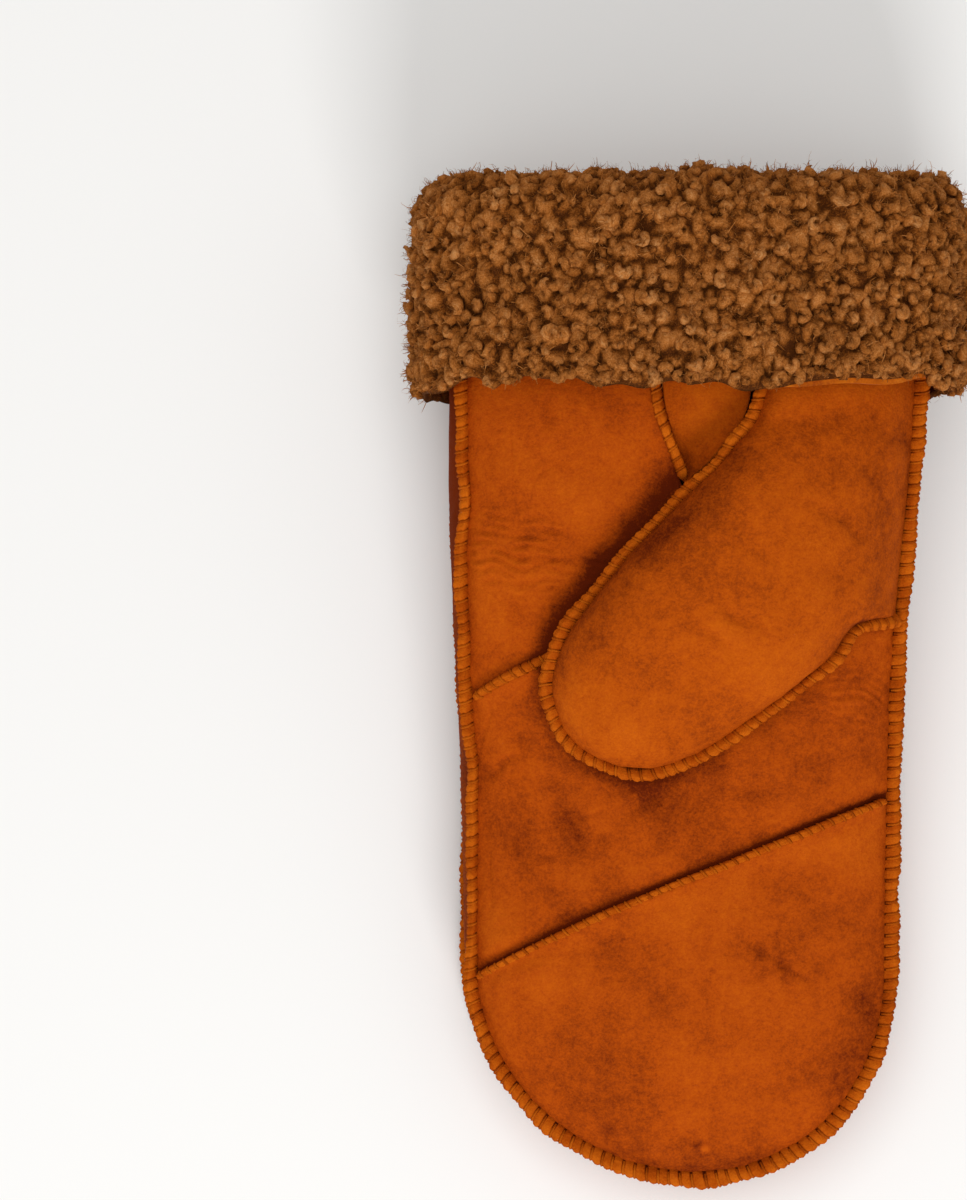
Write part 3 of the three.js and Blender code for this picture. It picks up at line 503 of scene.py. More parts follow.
class Finish:
    """A material that is built up node by node. Its methods return the socket that comes out."""

    def __init__(self, name, **settings):
        self.material = bpy.data.materials.new(name)
        self.material.use_nodes = True
        self.tree = self.material.node_tree
        self.shader = self.tree.nodes["Principled BSDF"]
        for socket, value in settings.items():
            self.shader.inputs[socket.replace("_", " ")].default_value = value

    def node(self, kind, inputs, **options):
        """A node with its options set, and each input either linked to a socket or set to a value."""
        made = self.tree.nodes.new("ShaderNode" + kind)
        for option, value in options.items():
            setattr(made, option, value)
        for name, value in inputs.items():
            if isinstance(value, bpy.types.NodeSocket):
                self.tree.links.new(value, made.inputs[name])
            else:
                made.inputs[name].default_value = value
        return made

    def place(self, stretch=(1, 1, 1)):
        """The point on the object, with its axes stretched to draw a pattern out."""
        coordinates = self.node("TexCoord", {}).outputs["Object"]
        return self.node("Mapping", {"Vector": coordinates, "Scale": stretch}).outputs[0]

    def noise(self, grain, detail=3, rough=0.6, stretch=(1, 1, 1), bend=0):
        """Noise whose patches are about as wide as the grain, in millimetres."""
        inputs = {"Vector": self.place(stretch), "Scale": 1 / (grain * MM), "Detail": detail}
        inputs.update({"Roughness": rough, "Distortion": bend})
        return self.node("TexNoise", inputs).outputs["Fac"]

    def shade(self, name):
        """A number stored with the mesh's points."""
        return self.node("Attribute", {}, attribute_name=name).outputs["Fac"]

    def spread(self, value, low, high, bottom=0, top=1):
        """A number's range from low to high, moved to the range from bottom to top."""
        inputs = {"Value": value, "From Min": low, "From Max": high, "To Min": bottom, "To Max": top}
        return self.node("MapRange", inputs, interpolation_type="SMOOTHSTEP").outputs[0]

    def sum(self, *values):
        """All the values added up."""
        total = values[0]
        for value in values[1:]:
            total = self.node("Math", {0: total, 1: value}, operation="ADD").outputs[0]
        return total

    def times(self, first, second):
        """Two values multiplied."""
        return self.node("Math", {0: first, 1: second}, operation="MULTIPLY").outputs[0]

    def ramp(self, value, *stops):
        """Colours at stops from 0 to 1, blended between."""
        made = self.node("ValToRGB", {"Fac": value})
        elements = made.color_ramp.elements
        while len(elements) < len(stops):
            elements.new(0.5)
        for element, (position, paint) in zip(elements, stops):
            element.position = position
            element.color = paint
        return made.outputs["Color"]

    def bump(self, *layers):
        """Small relief: layers of a height from 0 to 1 and the millimetres that it stands for."""
        normal = None
        for height, depth in layers:
            inputs = {"Height": height, "Distance": depth * MM, "Strength": 1.0}
            if normal is not None:
                inputs["Normal"] = normal
            normal = self.node("Bump", inputs).outputs[0]
        self.tree.links.new(normal, self.shader.inputs["Normal"])

    def link(self, socket, value):
        """Feeds a value to one of the shader's sockets."""
        self.tree.links.new(value, self.shader.inputs[socket])


def suede(name, dark, middle, light, bend):
    """Suede: mottled by soft patches, darker in its patches, worn ones and painted shadow, with painted
    shade in its creases and hollows, darker beside the seams, partly grime and partly painted shade under
    the ridges, paler where it stands up and is rubbed, with a short nap that is bump, roughness and a little
    sheen."""
    finish = Finish(name, Sheen_Weight=0.05, Sheen_Roughness=0.5, Specular_IOR_Level=0.04)
    finish.shader.inputs["Sheen Tint"].default_value = colour(240, 120, 20)
    flecks = finish.noise(2.2, 4, 0.7)
    nap = finish.noise(0.7, 3, 0.75)
    tone = finish.sum(
        finish.spread(finish.noise(34, 3, 0.55, bend=bend), 0.25, 0.75, 0.42, 0.62),
        finish.spread(finish.noise(9, 3, 0.6, bend=bend), 0.25, 0.75, -0.07, 0.07),
        # Painted shade in the creases, and paler where the leather stands up and is rubbed.
        finish.spread(finish.shade("relief"), -0.9, 0.7, -0.16, 0.12),
        # Darker beside the seams: partly grime, partly painted shade under the ridges.
        finish.spread(finish.shade("rim"), 0, 8, -0.1, 0.02),
        # Darker by the stored tone: worn patches and painted shadow.
        finish.times(finish.shade("stain_and_shadow"), -1),
        finish.spread(flecks, 0.25, 0.75, -0.12, 0.12),
        finish.spread(nap, 0.2, 0.8, -0.16, 0.16),
    )
    finish.link("Base Color", finish.ramp(tone, (0.0, dark), (0.5, middle), (1.0, light)))
    finish.link("Roughness", finish.spread(flecks, 0.3, 0.7, 0.8, 0.96))
    grain = finish.noise(1.6, 3, 0.6, stretch=(1, 1.3, 1))
    finish.bump((grain, 0.24), (nap, 0.12))
    return finish.material


def make_inner_wool():
    """The wool side of the skin, which lines the whole mitten: clipped short, brown and matted."""
    finish = Finish("inner_wool", Roughness=0.95, Specular_IOR_Level=0.08)
    clumps = finish.noise(3.4, 4, 0.7, bend=0.8)
    strands = finish.noise(0.6, 3, 0.7)
    tone = finish.sum(finish.spread(clumps, 0.3, 0.7, 0, 0.8), finish.spread(strands, 0.2, 0.8, -0.15, 0.2))
    finish.link("Base Color", finish.ramp(tone, (0.0, colour(50, 22, 4)), (1.0, colour(150, 92, 40))))
    finish.bump((clumps, 1.2), (strands, 0.3))
    return finish.material


hand_suede = suede("hand_suede", colour(94, 28, 3), colour(165, 67, 6), colour(190, 88, 11), 0.6)
inner_wool = make_inner_wool()

# The palm: an upper panel beside the thumb's root, a middle one that runs on under the thumb, and the
# rounded one over the fingers. Each is stuffed by the hand's wool, so it crowns between its seams.
edge_inset = 0.998  # how near a panel comes to the side seam
root_end = 0.3  # where the crease meets the thumb's root, across the hand
thumb_reach = 97  # the thumb's width across the hand
thumb_span = 100  # the thumb's length down the hand, from the cuff's lower edge
# The line where the thumb's inner panel leaves the palm. X is a share of thumb_reach, y of thumb_span, and
# lean says how late the panel turns up.
thumb_root_line = dict(
    path=(0, 0.09, 0.2, 0.27, 0.38, 0.5, 0.66, 0.85, 1),
    x=(-0.13, -0.101, -0.012, 0.03, 0.07, 0.115, 0.19, 0.36, 0.55),
    y=(-1, 0, 0.28, 0.37, 0.48, 0.57, 0.622, 0.63, 0.63),
    lean=(3, 3, 1.6, 0.6, 0.5, 0.5, 0.5, 0.5, 0.5),
)
root_start = {column: values[:7] for column, values in thumb_root_line.items()}


def root_x(y):
    """Where the thumb's root line is across the palm, for a height up the hand."""
    down = (cuff_y - y) / np.where(y > cuff_y, panel_top_y - cuff_y, thumb_span)
    return middle_x(y) + thumb_reach * follow(root_start, "y", "x", down)


def on_palm(x, y):
    """Points of the palm's outer face above places in plan."""
    return np.stack([x, y, palm_z(x, y)], axis=-1)


def towards_both(t):
    """0 to 1 with its steps drawn close together at both ends, where the form is steepest."""
    return (1 - np.cos(np.pi * t)) / 2


def towards_end(t):
    """0 to 1 with its steps drawn close together at the end."""
    return np.sin(np.pi / 2 * t)


def palm_upper(a, b):
    """From the outer side seam to the thumb's root, above the crease."""
    inward = 1 - towards_end(1 - a)
    y = mix(seam_y(palm_crease, mix(-1, root_end, inward)) + seam_gap, panel_top_y, b)
    return on_palm(mix(across_x(-edge_inset, y), root_x(y) - flat_ridge_width / 4, inward), y)


def palm_middle(a, b):
    """From side seam to side seam, between the finger seam and the crease."""
    across = edge_inset * (2 * towards_both(a) - 1)
    y = mix(seam_y(finger_seam, across) + seam_gap, seam_y(palm_crease, across) - seam_gap, b)
    return on_palm(across_x(across, y), y)


def finger_plan(seam, inset, a, b):
    """Lines that fan out from the seam across the hand to the seam round the fingertip."""
    across = 0.99 * (2 * a - 1)
    top = seam_y(seam, across * inset) - seam_gap
    turn = mix(seam_turn(-1, seam_y(seam, -1)), seam_turn(1, seam_y(seam, 1)), (1 + across) / 2)
    edge_x, edge_y = side_seam_at(turn)
    x = mix(middle_x(edge_y), edge_x, inset)
    y = mix(np.maximum(edge_y, knuckle_y), edge_y, inset)
    return mix(across_x(across * inset, top), x, b), mix(top, y, b)


def palm_finger(a, b):
    """From the finger seam to the seam round the fingertip."""
    return on_palm(*finger_plan(finger_seam, edge_inset, 1 - a, towards_end(b)))


lip_height = 1.7  # how far the leather stands up on the fingertip's side of a seam
lip_reach = 5  # over which it comes down again
groove_depth = 0.9  # how far the leather dips on the seam's other side, as a share of lip_height
groove_reach = 2.6
groove_width = 1.5  # of the painted shade in that dip


def beyond_seam(points, seam):
    """How far points of the palm lie on the cuff's side of a seam across it."""
    x, y = points[..., 0], points[..., 1]
    return y - seam_y(seam, (x - middle_x(y)) / side_x(y))


def palm_relief(points, rim):
    """The palm is worn, and at the two seams across it the leather on the fingertip's side stands up as a
    lip while the leather on the cuff's side dips."""
    step = 0
    for seam, share in ((finger_seam, 1), (palm_crease, 0.5)):
        beyond = beyond_seam(points, seam)
        lip = np.exp(np.minimum(beyond, 0) / lip_reach) * (beyond < 0)
        dip = groove_depth * np.exp(-np.maximum(beyond, 0) / groove_reach) * (beyond >= 0)
        step = step + share * lip_height * (lip - dip)
    from_side = 1 - near_seam(points[..., 0], points[..., 1])
    return worn_relief(points, rim, 11) + step * smooth(from_side, 0, 0.06)


# Painted shadow on the palm beside the thumb's edge, where the thumb stands over it, from the cuff round the
# tip, and how dark it is there.
thumb_shadow_line = dict(
    x=(-2, -22, -36.5, -40.3, -39.4, -28, -10.6, 8),
    y=(62, 36, 16, 3.4, -5.3, -20, -25, -18),
    dark=(0.35, 0.8, 0.8, 0.55, 0.4, 0.4, 0.4, 0.2),
)
thumb_shadow_width = 4.2  # to either side of that line


def thumb_shadow(points):
    """How dark the painted shadow makes the palm near the thumb's edge: the most that any stretch of that
    line gives.
    """
    most = 0
    corners = np.stack([thumb_shadow_line["x"], thumb_shadow_line["y"], thumb_shadow_line["dark"]], axis=-1).astype(float)
    for start, end in zip(corners[:-1], corners[1:]):
        run = end[:2] - start[:2]
        offset = points[..., :2] - start[:2]
        along = np.clip(offset @ run / (run @ run), 0, 1)
        gap = np.linalg.norm(offset - along[..., None] * run, axis=-1)
        most = np.maximum(most, mix(start[2], end[2], along) * np.exp(-((gap / thumb_shadow_width) ** 2)))
    return most


# The palm's patches: place, half length, half width and turn in plan, and how dark each is. A pale one is
# less than nothing. The first is painted shadow along the thumb's edge, the one at y -134 darkens the
# fingertip's edge, and the rest are worn patches.
palm_patches = (
    dict(x=-23, y=41, long=36, wide=6, turn=53, dark=0.14),
    dict(x=-31, y=-41, long=13, wide=4.5, turn=-60, dark=0.14),
    dict(x=0, y=-102, long=70, wide=34, turn=0, dark=0.06),
    dict(x=-6, y=-33, long=24, wide=13, turn=20, dark=0.22),
    dict(x=30, y=-20, long=30, wide=12, turn=28, dark=0.1),
    dict(x=-45, y=-45, long=26, wide=8, turn=-70, dark=0.14),
    dict(x=48, y=-8, long=14, wide=9, turn=-20, dark=0.1),
    dict(x=52, y=-84, long=40, wide=8, turn=80, dark=0.16),
    dict(x=4, y=-134, long=44, wide=9, turn=0, dark=0.3),
    dict(x=24, y=-76, long=16, wide=7, turn=-28, dark=0.14),
    dict(x=2.8, y=-127.5, long=1.8, wide=1.2, turn=20, dark=0.5),
    dict(x=5, y=-128.8, long=1.1, wide=0.9, turn=0, dark=-0.5),
    dict(x=-48, y=14, long=22, wide=12, turn=80, dark=-0.12),
)


def palm_tone(points):
    """The palm's patches, the painted shadow beside the thumb, and painted shade in the dips on the cuff's
    side of the two seams across.
    """
    tone = patch_tone(points, palm_patches) + thumb_shadow(points)
    # Painted shade in the dip on the cuff's side of each seam across, where the raised lip shades it.
    for seam, dark in ((finger_seam, 1.5), (palm_crease, 0.5)):
        beyond = beyond_seam(points, seam)
        tone += dark * np.exp(-((beyond / groove_width) ** 2)) * (beyond > 0)
    return tone


for panel, face, columns, rows in (
    ("palm_upper", palm_upper, 108, 216),
    ("palm_middle", palm_middle, 180, 108),
    ("palm_finger", palm_finger, 200, 112),
):
    leather_wall(panel + "_hide", panel + "_panel", face, columns, rows, palm_relief, hand_suede, palm_tone)

# The back: two long panels with a seam down the middle, and a rounded one over the fingers. It is the same
# suede, and is pressed flat where the mitten lies on it.


def on_back(x, y):
    """Points of the back's outer face below places in plan."""
    return np.stack([x, y, back_z(x, y)], axis=-1)


back_inset = 1 - (skin + seam_gap) / tip_radius  # the back's panels end inside the side strip


def back_finger(a, b):
    """From the back's cross seam to the seam round the fingertip."""
    return on_back(*finger_plan(back_seam, back_inset, a, towards_end(b)))


def back_long(side):
    """One of the two long panels beside the seam down the middle of the back."""

    def face(a, b):
        outward = towards_end(1 - a if side < 0 else a)
        y = mix(panel_top_y, seam_y(back_seam, side * back_inset * outward) + seam_gap, b)
        return on_back(mix(middle_x(y) + side * seam_gap, across_x(side * back_inset, y), outward), y)

    return face


def back_relief(points, rim):
    """The back is worn too, but nothing of it goes below the ground that it rests on."""
    return np.minimum(worn_relief(points, rim, 41), points[..., 2] - 0.05)


for panel, face, columns, rows in (
    ("back_outer", back_long(-1), 72, 140),
    ("back_thumb_side", back_long(1), 72, 120),
    ("back_finger", back_finger, 140, 88),
):
    leather_wall(panel + "_hide", panel + "_panel", face, columns, rows, back_relief, hand_suede)

# The side strip: one long band of suede round the hand's edge, sewn to the palm along one side and to the
# back along the other. It is pieced together once, near the fingertip on the thumb's side.
strip_joint_at = 48  # the joint's place, from the fingertip up the thumb's side
strip_suede = suede("strip_suede", colour(108, 36, 4), colour(172, 74, 8), colour(198, 98, 15), 0.3)
joint_turn = seam_turn(1, np.float64(tip_y + strip_joint_at))
turns_per_mm = 1 / (np.pi * tip_radius)
# How far the strip bows out: most on the little finger's side, where it shows past its seam from above.
strip_bows = dict(turn=(0, 0.12, 0.25, 0.5, 0.85, 1.15, 3), bow=(1.2, 2.4, 4.2, 3.8, 3.4, 1.2, 1.2))


def outer_side(turn):
    """1 on the little finger's side of the hand, fading to 0 round the fingertip."""
    return 1 - smooth(turn, 0.85, 1.15)


def side_strip(start, end):
    """A length of the side strip: it follows the side seam and bows out between the palm and the back."""

    def face(a, b):
        turn = mix(start, end, b)
        x, y, out_x, out_y = side_seam(turn)
        bow = follow(strip_bows, "turn", "bow", turn) * np.sin(np.pi * a) ** 0.8
        z = mix(palm_seam_z(y) - seam_gap, back_seam_z(y) + seam_gap, a)
        return np.stack([x + out_x * bow, y + out_y * bow, z], axis=-1)

    return face


def strip_relief(points, rim):
    """The strip is less worn than the palm."""
    return 0.6 * worn_relief(points, rim, 71)


def painted_strip_shadow(points):
    """Painted shadow on the strip on the little finger's side, darkest next to the cuff."""
    return (0.4 + 0.9 * smooth(points[..., 1], 20, 80)) * smooth(-points[..., 0], 48, 58)


long_strip = side_strip(0.0, joint_turn - seam_gap * turns_per_mm)
short_strip = side_strip(joint_turn + seam_gap * turns_per_mm, 3.0)
strip_finish = dict(relief=strip_relief, material=strip_suede)
leather_wall("outer_strip_hide", "side_strip_outer", long_strip, 24, 560, tone=painted_strip_shadow, **strip_finish)
leather_wall("thumb_side_strip_hide", "side_strip_thumb_side", short_strip, 24, 240, **strip_finish)

# The thumb. It is a pocket of two panels that lies over the palm: the outside is one stuffed panel from
# the cuff to the tip, and the inside is the valley beside the palm and the thumb's underside.
thumb_puff = 23  # how far the thumb swells above the line across it
thumb_lift = 6  # how far the thumb's ridge stands above the palm
valley_depth = 5  # how far the leather dips between the palm and the thumb, near the cuff
notch_at = 0.43  # the row where the near side leaves the side seam
tip_path = 0.66  # the share of the ridge's path that leads down to the tip
rim_margin = 0.004  # the outer panel ends this share of a row short of the ridge on each side
# Rows from inside the cuff to the tip. X of thumb_reach from the hand's middle, Y of thumb_span down from
# the cuff's edge, lifts of thumb_lift and puff of thumb_puff.
thumb_rows = dict(
    at=(0, 0.13, 0.21, 0.3, 0.41, 0.5, 0.58, 0.67, 0.75, 0.84, 0.93, 1),
    far_x=(0.26, 0.205, 0.115, -0.015, -0.15, -0.254, -0.333, -0.372, -0.363, -0.329, -0.257, -0.165),
    far_y=(-1, 0, 0.18, 0.32, 0.46, 0.59, 0.7, 0.815, 0.9, 0.975, 1.031, 1.066),
    near_x=(0.72, 0.72, 0.72, 0.72, 0.7, 0.5, 0.425, 0.31, 0.213, 0.085, -0.02, -0.115),
    near_y=(-1, 0, 0.24, 0.44, 0.62, 0.665, 0.755, 0.845, 0.912, 0.998, 1.045, 1.07),
    far_lift=(0.1, 0.35, 0.6, 0.8, 1, 1, 1, 1, 1, 1, 1, 1),
    near_lift=(0, 0, 0, 0, 0, 0.6, 0.8, 0.8, 0.8, 0.85, 0.9, 1),
    puff=(0.12, 0.36, 0.62, 0.86, 1, 0.9, 0.8, 0.7, 0.6, 0.46, 0.28, 0.08),
)


def thumb_y(down):
    """Down is 0 at the cuff's edge, 1 at thumb_span below it, and -1 at the panels' end inside the cuff."""
    return cuff_y - down * np.where(down < 0, panel_top_y - cuff_y, thumb_span)


def thumb_edge(side, at):
    """One end of a row of the thumb: far is on the ridge beside the palm, near is on the side seam and
    then on the lower ridge."""
    y = thumb_y(follow(thumb_rows, "at", side + "_y", at))
    reach = thumb_reach * follow(thumb_rows, "at", side + "_x", at)
    x = middle_x(y) + np.minimum(reach, edge_inset * side_x(y))
    lift = np.maximum(follow(thumb_rows, "at", side + "_lift", at), 0)
    return np.stack([x, y, palm_z(x, y) + thumb_lift * lift], axis=-1)


def thumb_row(across, at):
    """One row of the thumb's outside, which swells between the far ridge and the near side."""
    point = mix(thumb_edge("far", at), thumb_edge("near", at), across[..., None])
    puff = thumb_puff * np.maximum(follow(thumb_rows, "at", "puff", at), 0)
    point[..., 2] += puff * swell(np.abs(2 * across - 1), 2.4, 0.62)
    return point


def thumb_face(across, at):
    """The outside of the thumb. Away from its edges each row is the mean of the rows beside it, so that the
    rows' turn at the notch leaves no crease."""
    spread = 0.07 * (1 - np.abs(2 * across - 1) ** 7) * smooth(at, 0.1, 0.3) * smooth(1 - at, 0, 0.2)
    return np.mean([thumb_row(across, at + step * spread) for step in np.linspace(-1, 1, 7)], axis=0)


def thumb_rim(path):
    """The ridge's own line: down the far side to the tip, then back up the near side to the notch."""
    down = thumb_edge("far", np.minimum(path / tip_path, 1))
    back = thumb_edge("near", mix(1, notch_at, np.clip((path - tip_path) / (1 - tip_path), 0, 1)))
    return np.where((path < tip_path)[..., None], down, back)


def thumb_under(path, across):
    """The inner panel, from the palm (across 0) to the ridge (across 1): a valley beside the palm near the
    cuff, and lower down the thumb's underside, which leaves the palm at once."""
    rim = thumb_rim(path)
    root_line_y = thumb_y(follow(thumb_root_line, "path", "y", path))
    root_line_x = middle_x(root_line_y) + thumb_reach * follow(thumb_root_line, "path", "x", path)
    x = mix(root_line_x, rim[..., 0], across)
    y = mix(root_line_y, rim[..., 1], across)
    lift = np.maximum(rim[..., 2] - palm_z(rim[..., 0], rim[..., 1]) - skin - 2 * seam_gap, 0)
    valley = valley_depth * smooth(path, 0.05, 0.14) * (1 - smooth(path, 0.13, 0.2))
    up = lift * across ** follow(thumb_root_line, "path", "lean", path)
    return np.stack([x, y, palm_z(x, y) + seam_gap + up - valley * np.sin(np.pi * across)], axis=-1)


def thumb_outside(a, b):
    """The outer panel, from inside the cuff to just short of the tip."""
    return thumb_face(mix(1 - rim_margin, rim_margin, towards_both(a)), mix(0, 0.98, b))


def thumb_inside(a, b):
    """The inner panel, which keeps clear of the palm's panel at its root and of the ridge at its rim."""
    path = mix(0, 0.97, a)
    start = thumb_under(path, np.zeros_like(path))
    end = thumb_under(path, np.ones_like(path))
    width = np.linalg.norm(end - start, axis=-1)
    first = np.minimum(skin / width, 0.3)
    last = np.maximum(1 - (skin + 4 * seam_gap) / width, 2 * first)
    return thumb_under(path, mix(first, last, b))


def thumb_relief(points, rim):
    """The thumb is worn as the palm is, with other creases."""
    return worn_relief(points, rim, 23)


def inner_relief(points, rim):
    """The inner panel is hardly worn."""
    return 0.3 * worn_relief(points, rim, 31)


# The outer panel's patches: place, half length, half width and turn in plan, and how dark each is. The two
# along the far ridge (x -2 and -25) are painted shade where the thumb curves away from the light, the two
# thin dark lines (x 52.5 and 44.2) are painted shadow above the lower ridge past the notch, and the rest
# darken or lighten the leather in places.
thumb_patches = (
    dict(x=52, y=52, long=34, wide=11, turn=80, dark=0.12),
    dict(x=36, y=66, long=20, wide=12, turn=20, dark=0.12),
    dict(x=-2, y=50, long=34, wide=6, turn=53, dark=0.18),
    dict(x=-25, y=22, long=26, wide=4.5, turn=57, dark=0.26),
    dict(x=44, y=24, long=12, wide=10, turn=0, dark=0.08),
    dict(x=-4, y=4, long=24, wide=16, turn=40, dark=-0.12),
    dict(x=52.5, y=18.6, long=6, wide=0.8, turn=2, dark=1.1),
    dict(x=44.2, y=15.4, long=5, wide=0.8, turn=52, dark=1.1),
)
# The inner panel's dark patch along the thumb's far ridge is painted shadow of the thumb.
valley_patches = (dict(x=-14, y=40, long=26, wide=8, turn=53, dark=0.16),)


def thumb_tone(points):
    """The outer panel's patches, some of them painted shade and painted shadow."""
    return patch_tone(points, thumb_patches)


def valley_tone(points):
    """The inner panel's one dark patch, which is painted shadow of the thumb, and half of the painted shadow
    beside the thumb's edge.
    """
    return patch_tone(points, valley_patches) + 0.5 * thumb_shadow(points)


thumb_suede = suede("thumb_suede", colour(96, 30, 3), colour(168, 71, 6), colour(193, 92, 11), 0.9)
for panel, face, columns, rows, relief, tone in (
    ("thumb_outer", thumb_outside, 148, 208, thumb_relief, thumb_tone),
    ("thumb_inner", thumb_inside, 280, 40, inner_relief, valley_tone),
):
    leather_wall(panel + "_hide", panel + "_panel", face, columns, rows, relief, thumb_suede, tone)

# The seams. The two leather edges are turned out side by side and sewn over and over with one thick waxed
# thread, which draws them into a rounded ridge with a notch at every stitch.
ridge_width = 4.2  # across a ridge that closes a corner
flat_ridge_height = 3  # how far a ridge on a face stands up
stitch_pitch = 3.2
stitch_slant = 1.6  # how far a stitch runs along the seam while it goes over
thread_radius = 0.42
bead_depth = 0.16  # how far a notch goes in, as a share of the ridge's own size
waver_depth = 0.09  # how much a ridge's size varies along it, as a share
lean_depth = 0.22  # how far its top leans to one side, as a share of its height
ridge_step = 0.72  # between two sections of a ridge
ridge_corners = 15  # in one section
thread_stations = 8  # along one stitch
thread_sides = 5
ridge_top_y = cuff_y + cuff_height * 0.12  # where the ridges end, hidden in the cuff


def seam_line(place, out):
    """A seam's line with, at each point, its run from the start, the way out of the leather squared to the
    line, and the way across."""
    steps = np.linalg.norm(np.diff(place, axis=0), axis=-1)
    ahead = np.gradient(place, axis=0)
    ahead /= np.linalg.norm(ahead, axis=-1, keepdims=True)
    out = out - (out * ahead).sum(-1, keepdims=True) * ahead
    out /= np.linalg.norm(out, axis=-1, keepdims=True)
    run = np.insert(np.cumsum(steps), 0, 0)
    return dict(run=run, place=place, out=out, side=np.cross(ahead, out), length=run[-1])


def along_seam(line, run):
    """A seam's place, the way out and the way across at given runs, in this order."""
    return [
        np.stack([np.interp(run, line["run"], line[column][:, k]) for k in range(3)], axis=-1)
        for column in ("place", "out", "side")
    ]


def ridge_section(over, width, height):
    """The ridge's section. Over goes from -1 at the foot of one leather edge, over the top, to 1 at the foot
    of the other: nearly upright sides, round shoulders, and a slight groove between the two edges."""
    angle = np.pi / 2 * over
    side = width / 2 * np.sign(over) * np.abs(np.sin(angle)) ** 0.72
    groove = 0.07 * height * np.exp(-((side / (0.14 * width)) ** 2))
    rise = height * np.abs(np.cos(angle)) ** 0.6 - groove
    return side, rise


def tube_faces(count, stations, sides):
    """The faces of many tubes at once, each stored station by station, with both ends closed."""
    first = np.arange(count)[:, None, None] * stations * sides
    faces = (grid_faces(stations, sides, wrap_columns=True)[None] + first).reshape(-1, 4).tolist()
    faces += (np.arange(sides)[::-1] + first[:, 0]).tolist()
    faces += (np.arange((stations - 1) * sides, stations * sides) + first[:, 0]).tolist()
    return faces


def ridge(name, node, line, paced, width, height, foot, seed):
    """The ridge is its section carried along the seam. It bulges into a bead between each two stitches, and
    wavers in size and leans a little on its way."""
    count = int(line["length"] / ridge_step)
    run = np.linspace(0, line["length"], count + 1)[:, None]
    over = np.linspace(-1, 1, ridge_corners)[None, :]
    place, out, side = along_seam(line, run)
    phase = (paced[:, None] - over * stitch_slant / 2) / stitch_pitch
    pinch = np.cos(2 * np.pi * phase)
    waver = 1 + waver_depth * waves(place, 13, seed)
    end = smooth(np.minimum(run, line["length"] - run), -0.5, 2.5)
    shape = (waver - bead_depth * (1 + pinch) / 2) * mix(0.25, 1, end)
    across, rise = ridge_section(over, width, height)
    lean = lean_depth * waves(place, 21, seed + 1) * rise
    points = place + side * (across * shape + lean)[..., None] + out * (rise * shape + foot)[..., None]
    rows, columns = points.shape[:2]
    faces = grid_faces(rows, columns, wrap_columns=True)[:, ::-1].tolist()
    faces.append(list(range(columns)))
    faces.append(list(range((rows - 1) * columns, rows * columns))[::-1])
    shades = dict(pinch=pinch.ravel(), over=np.broadcast_to(over, (rows, columns)).ravel())
    piece = finish_mesh(name, points.reshape(-1, 3), faces, shades, ridge_suede)
    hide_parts(node)


def thread(name, line, centre, width, height, foot, seed):
    """The thread is one short tube for each stitch. It goes over the ridge's section at a slant, sunk in the
    notch that it pulls, and ends in the leather on both sides."""
    random = np.random.default_rng(seed)
    over = np.linspace(-0.93, 0.93, thread_stations)[None, :]
    place, out, side = along_seam(line, centre[:, None] + over * stitch_slant / 2)
    across, rise = ridge_section(over, width, height)
    size = 1 - bead_depth + waver_depth * waves(place[:, :1], 13, seed)
    lean = lean_depth * waves(place[:, :1], 21, seed + 1) * rise
    core = place + side * (across * size + lean)[..., None] + out * (rise * size + foot)[..., None]
    tangent = np.gradient(core, axis=1)
    tangent /= np.linalg.norm(tangent, axis=-1, keepdims=True)
    away = core - (place + out * (0.4 * height + foot))
    away -= (away * tangent).sum(-1, keepdims=True) * tangent
    away /= np.linalg.norm(away, axis=-1, keepdims=True)
    beside = np.cross(tangent, away)
    turn = np.linspace(0, 2 * np.pi, thread_sides, endpoint=False)[:, None]
    radius = thread_radius * np.sin(np.pi * np.linspace(0.12, 0.88, thread_stations)) ** 0.3
    ring = np.cos(turn) * away[:, :, None] + np.sin(turn) * beside[:, :, None]
    tube = (core + away * thread_radius * 0.3)[:, :, None] + radius[None, :, None, None] * ring
    shades = dict(tone=np.repeat(random.uniform(0, 1, len(centre)), thread_stations * thread_sides))
    faces = tube_faces(len(centre), thread_stations, thread_sides)
    piece = finish_mesh(name, tube.reshape(-1, 3), faces, shades, waxed_thread)


def sewn_seam(name, node, line, width, height, foot, seed):
    """One seam: its ridge, which replaces the node, and its thread. The stitches are not quite evenly
    spaced, because the run that they are counted by is bent by a noise."""
    run = np.linspace(0, line["length"], int(line["length"] / ridge_step) + 1)
    paced = run + 0.45 * waves(line["place"][:1] + [[1, 0.3, 0.2]] * run[:, None], 9, seed + 2)
    stitches = int((line["length"] - 3) / stitch_pitch)
    centre = np.interp((1 + np.arange(stitches)) * stitch_pitch, paced, run)
    ridge(name + "_sewn_edge", node, line, paced, width, height, foot, seed)
    thread(name + "_thread", line, centre, width, height, foot, seed)


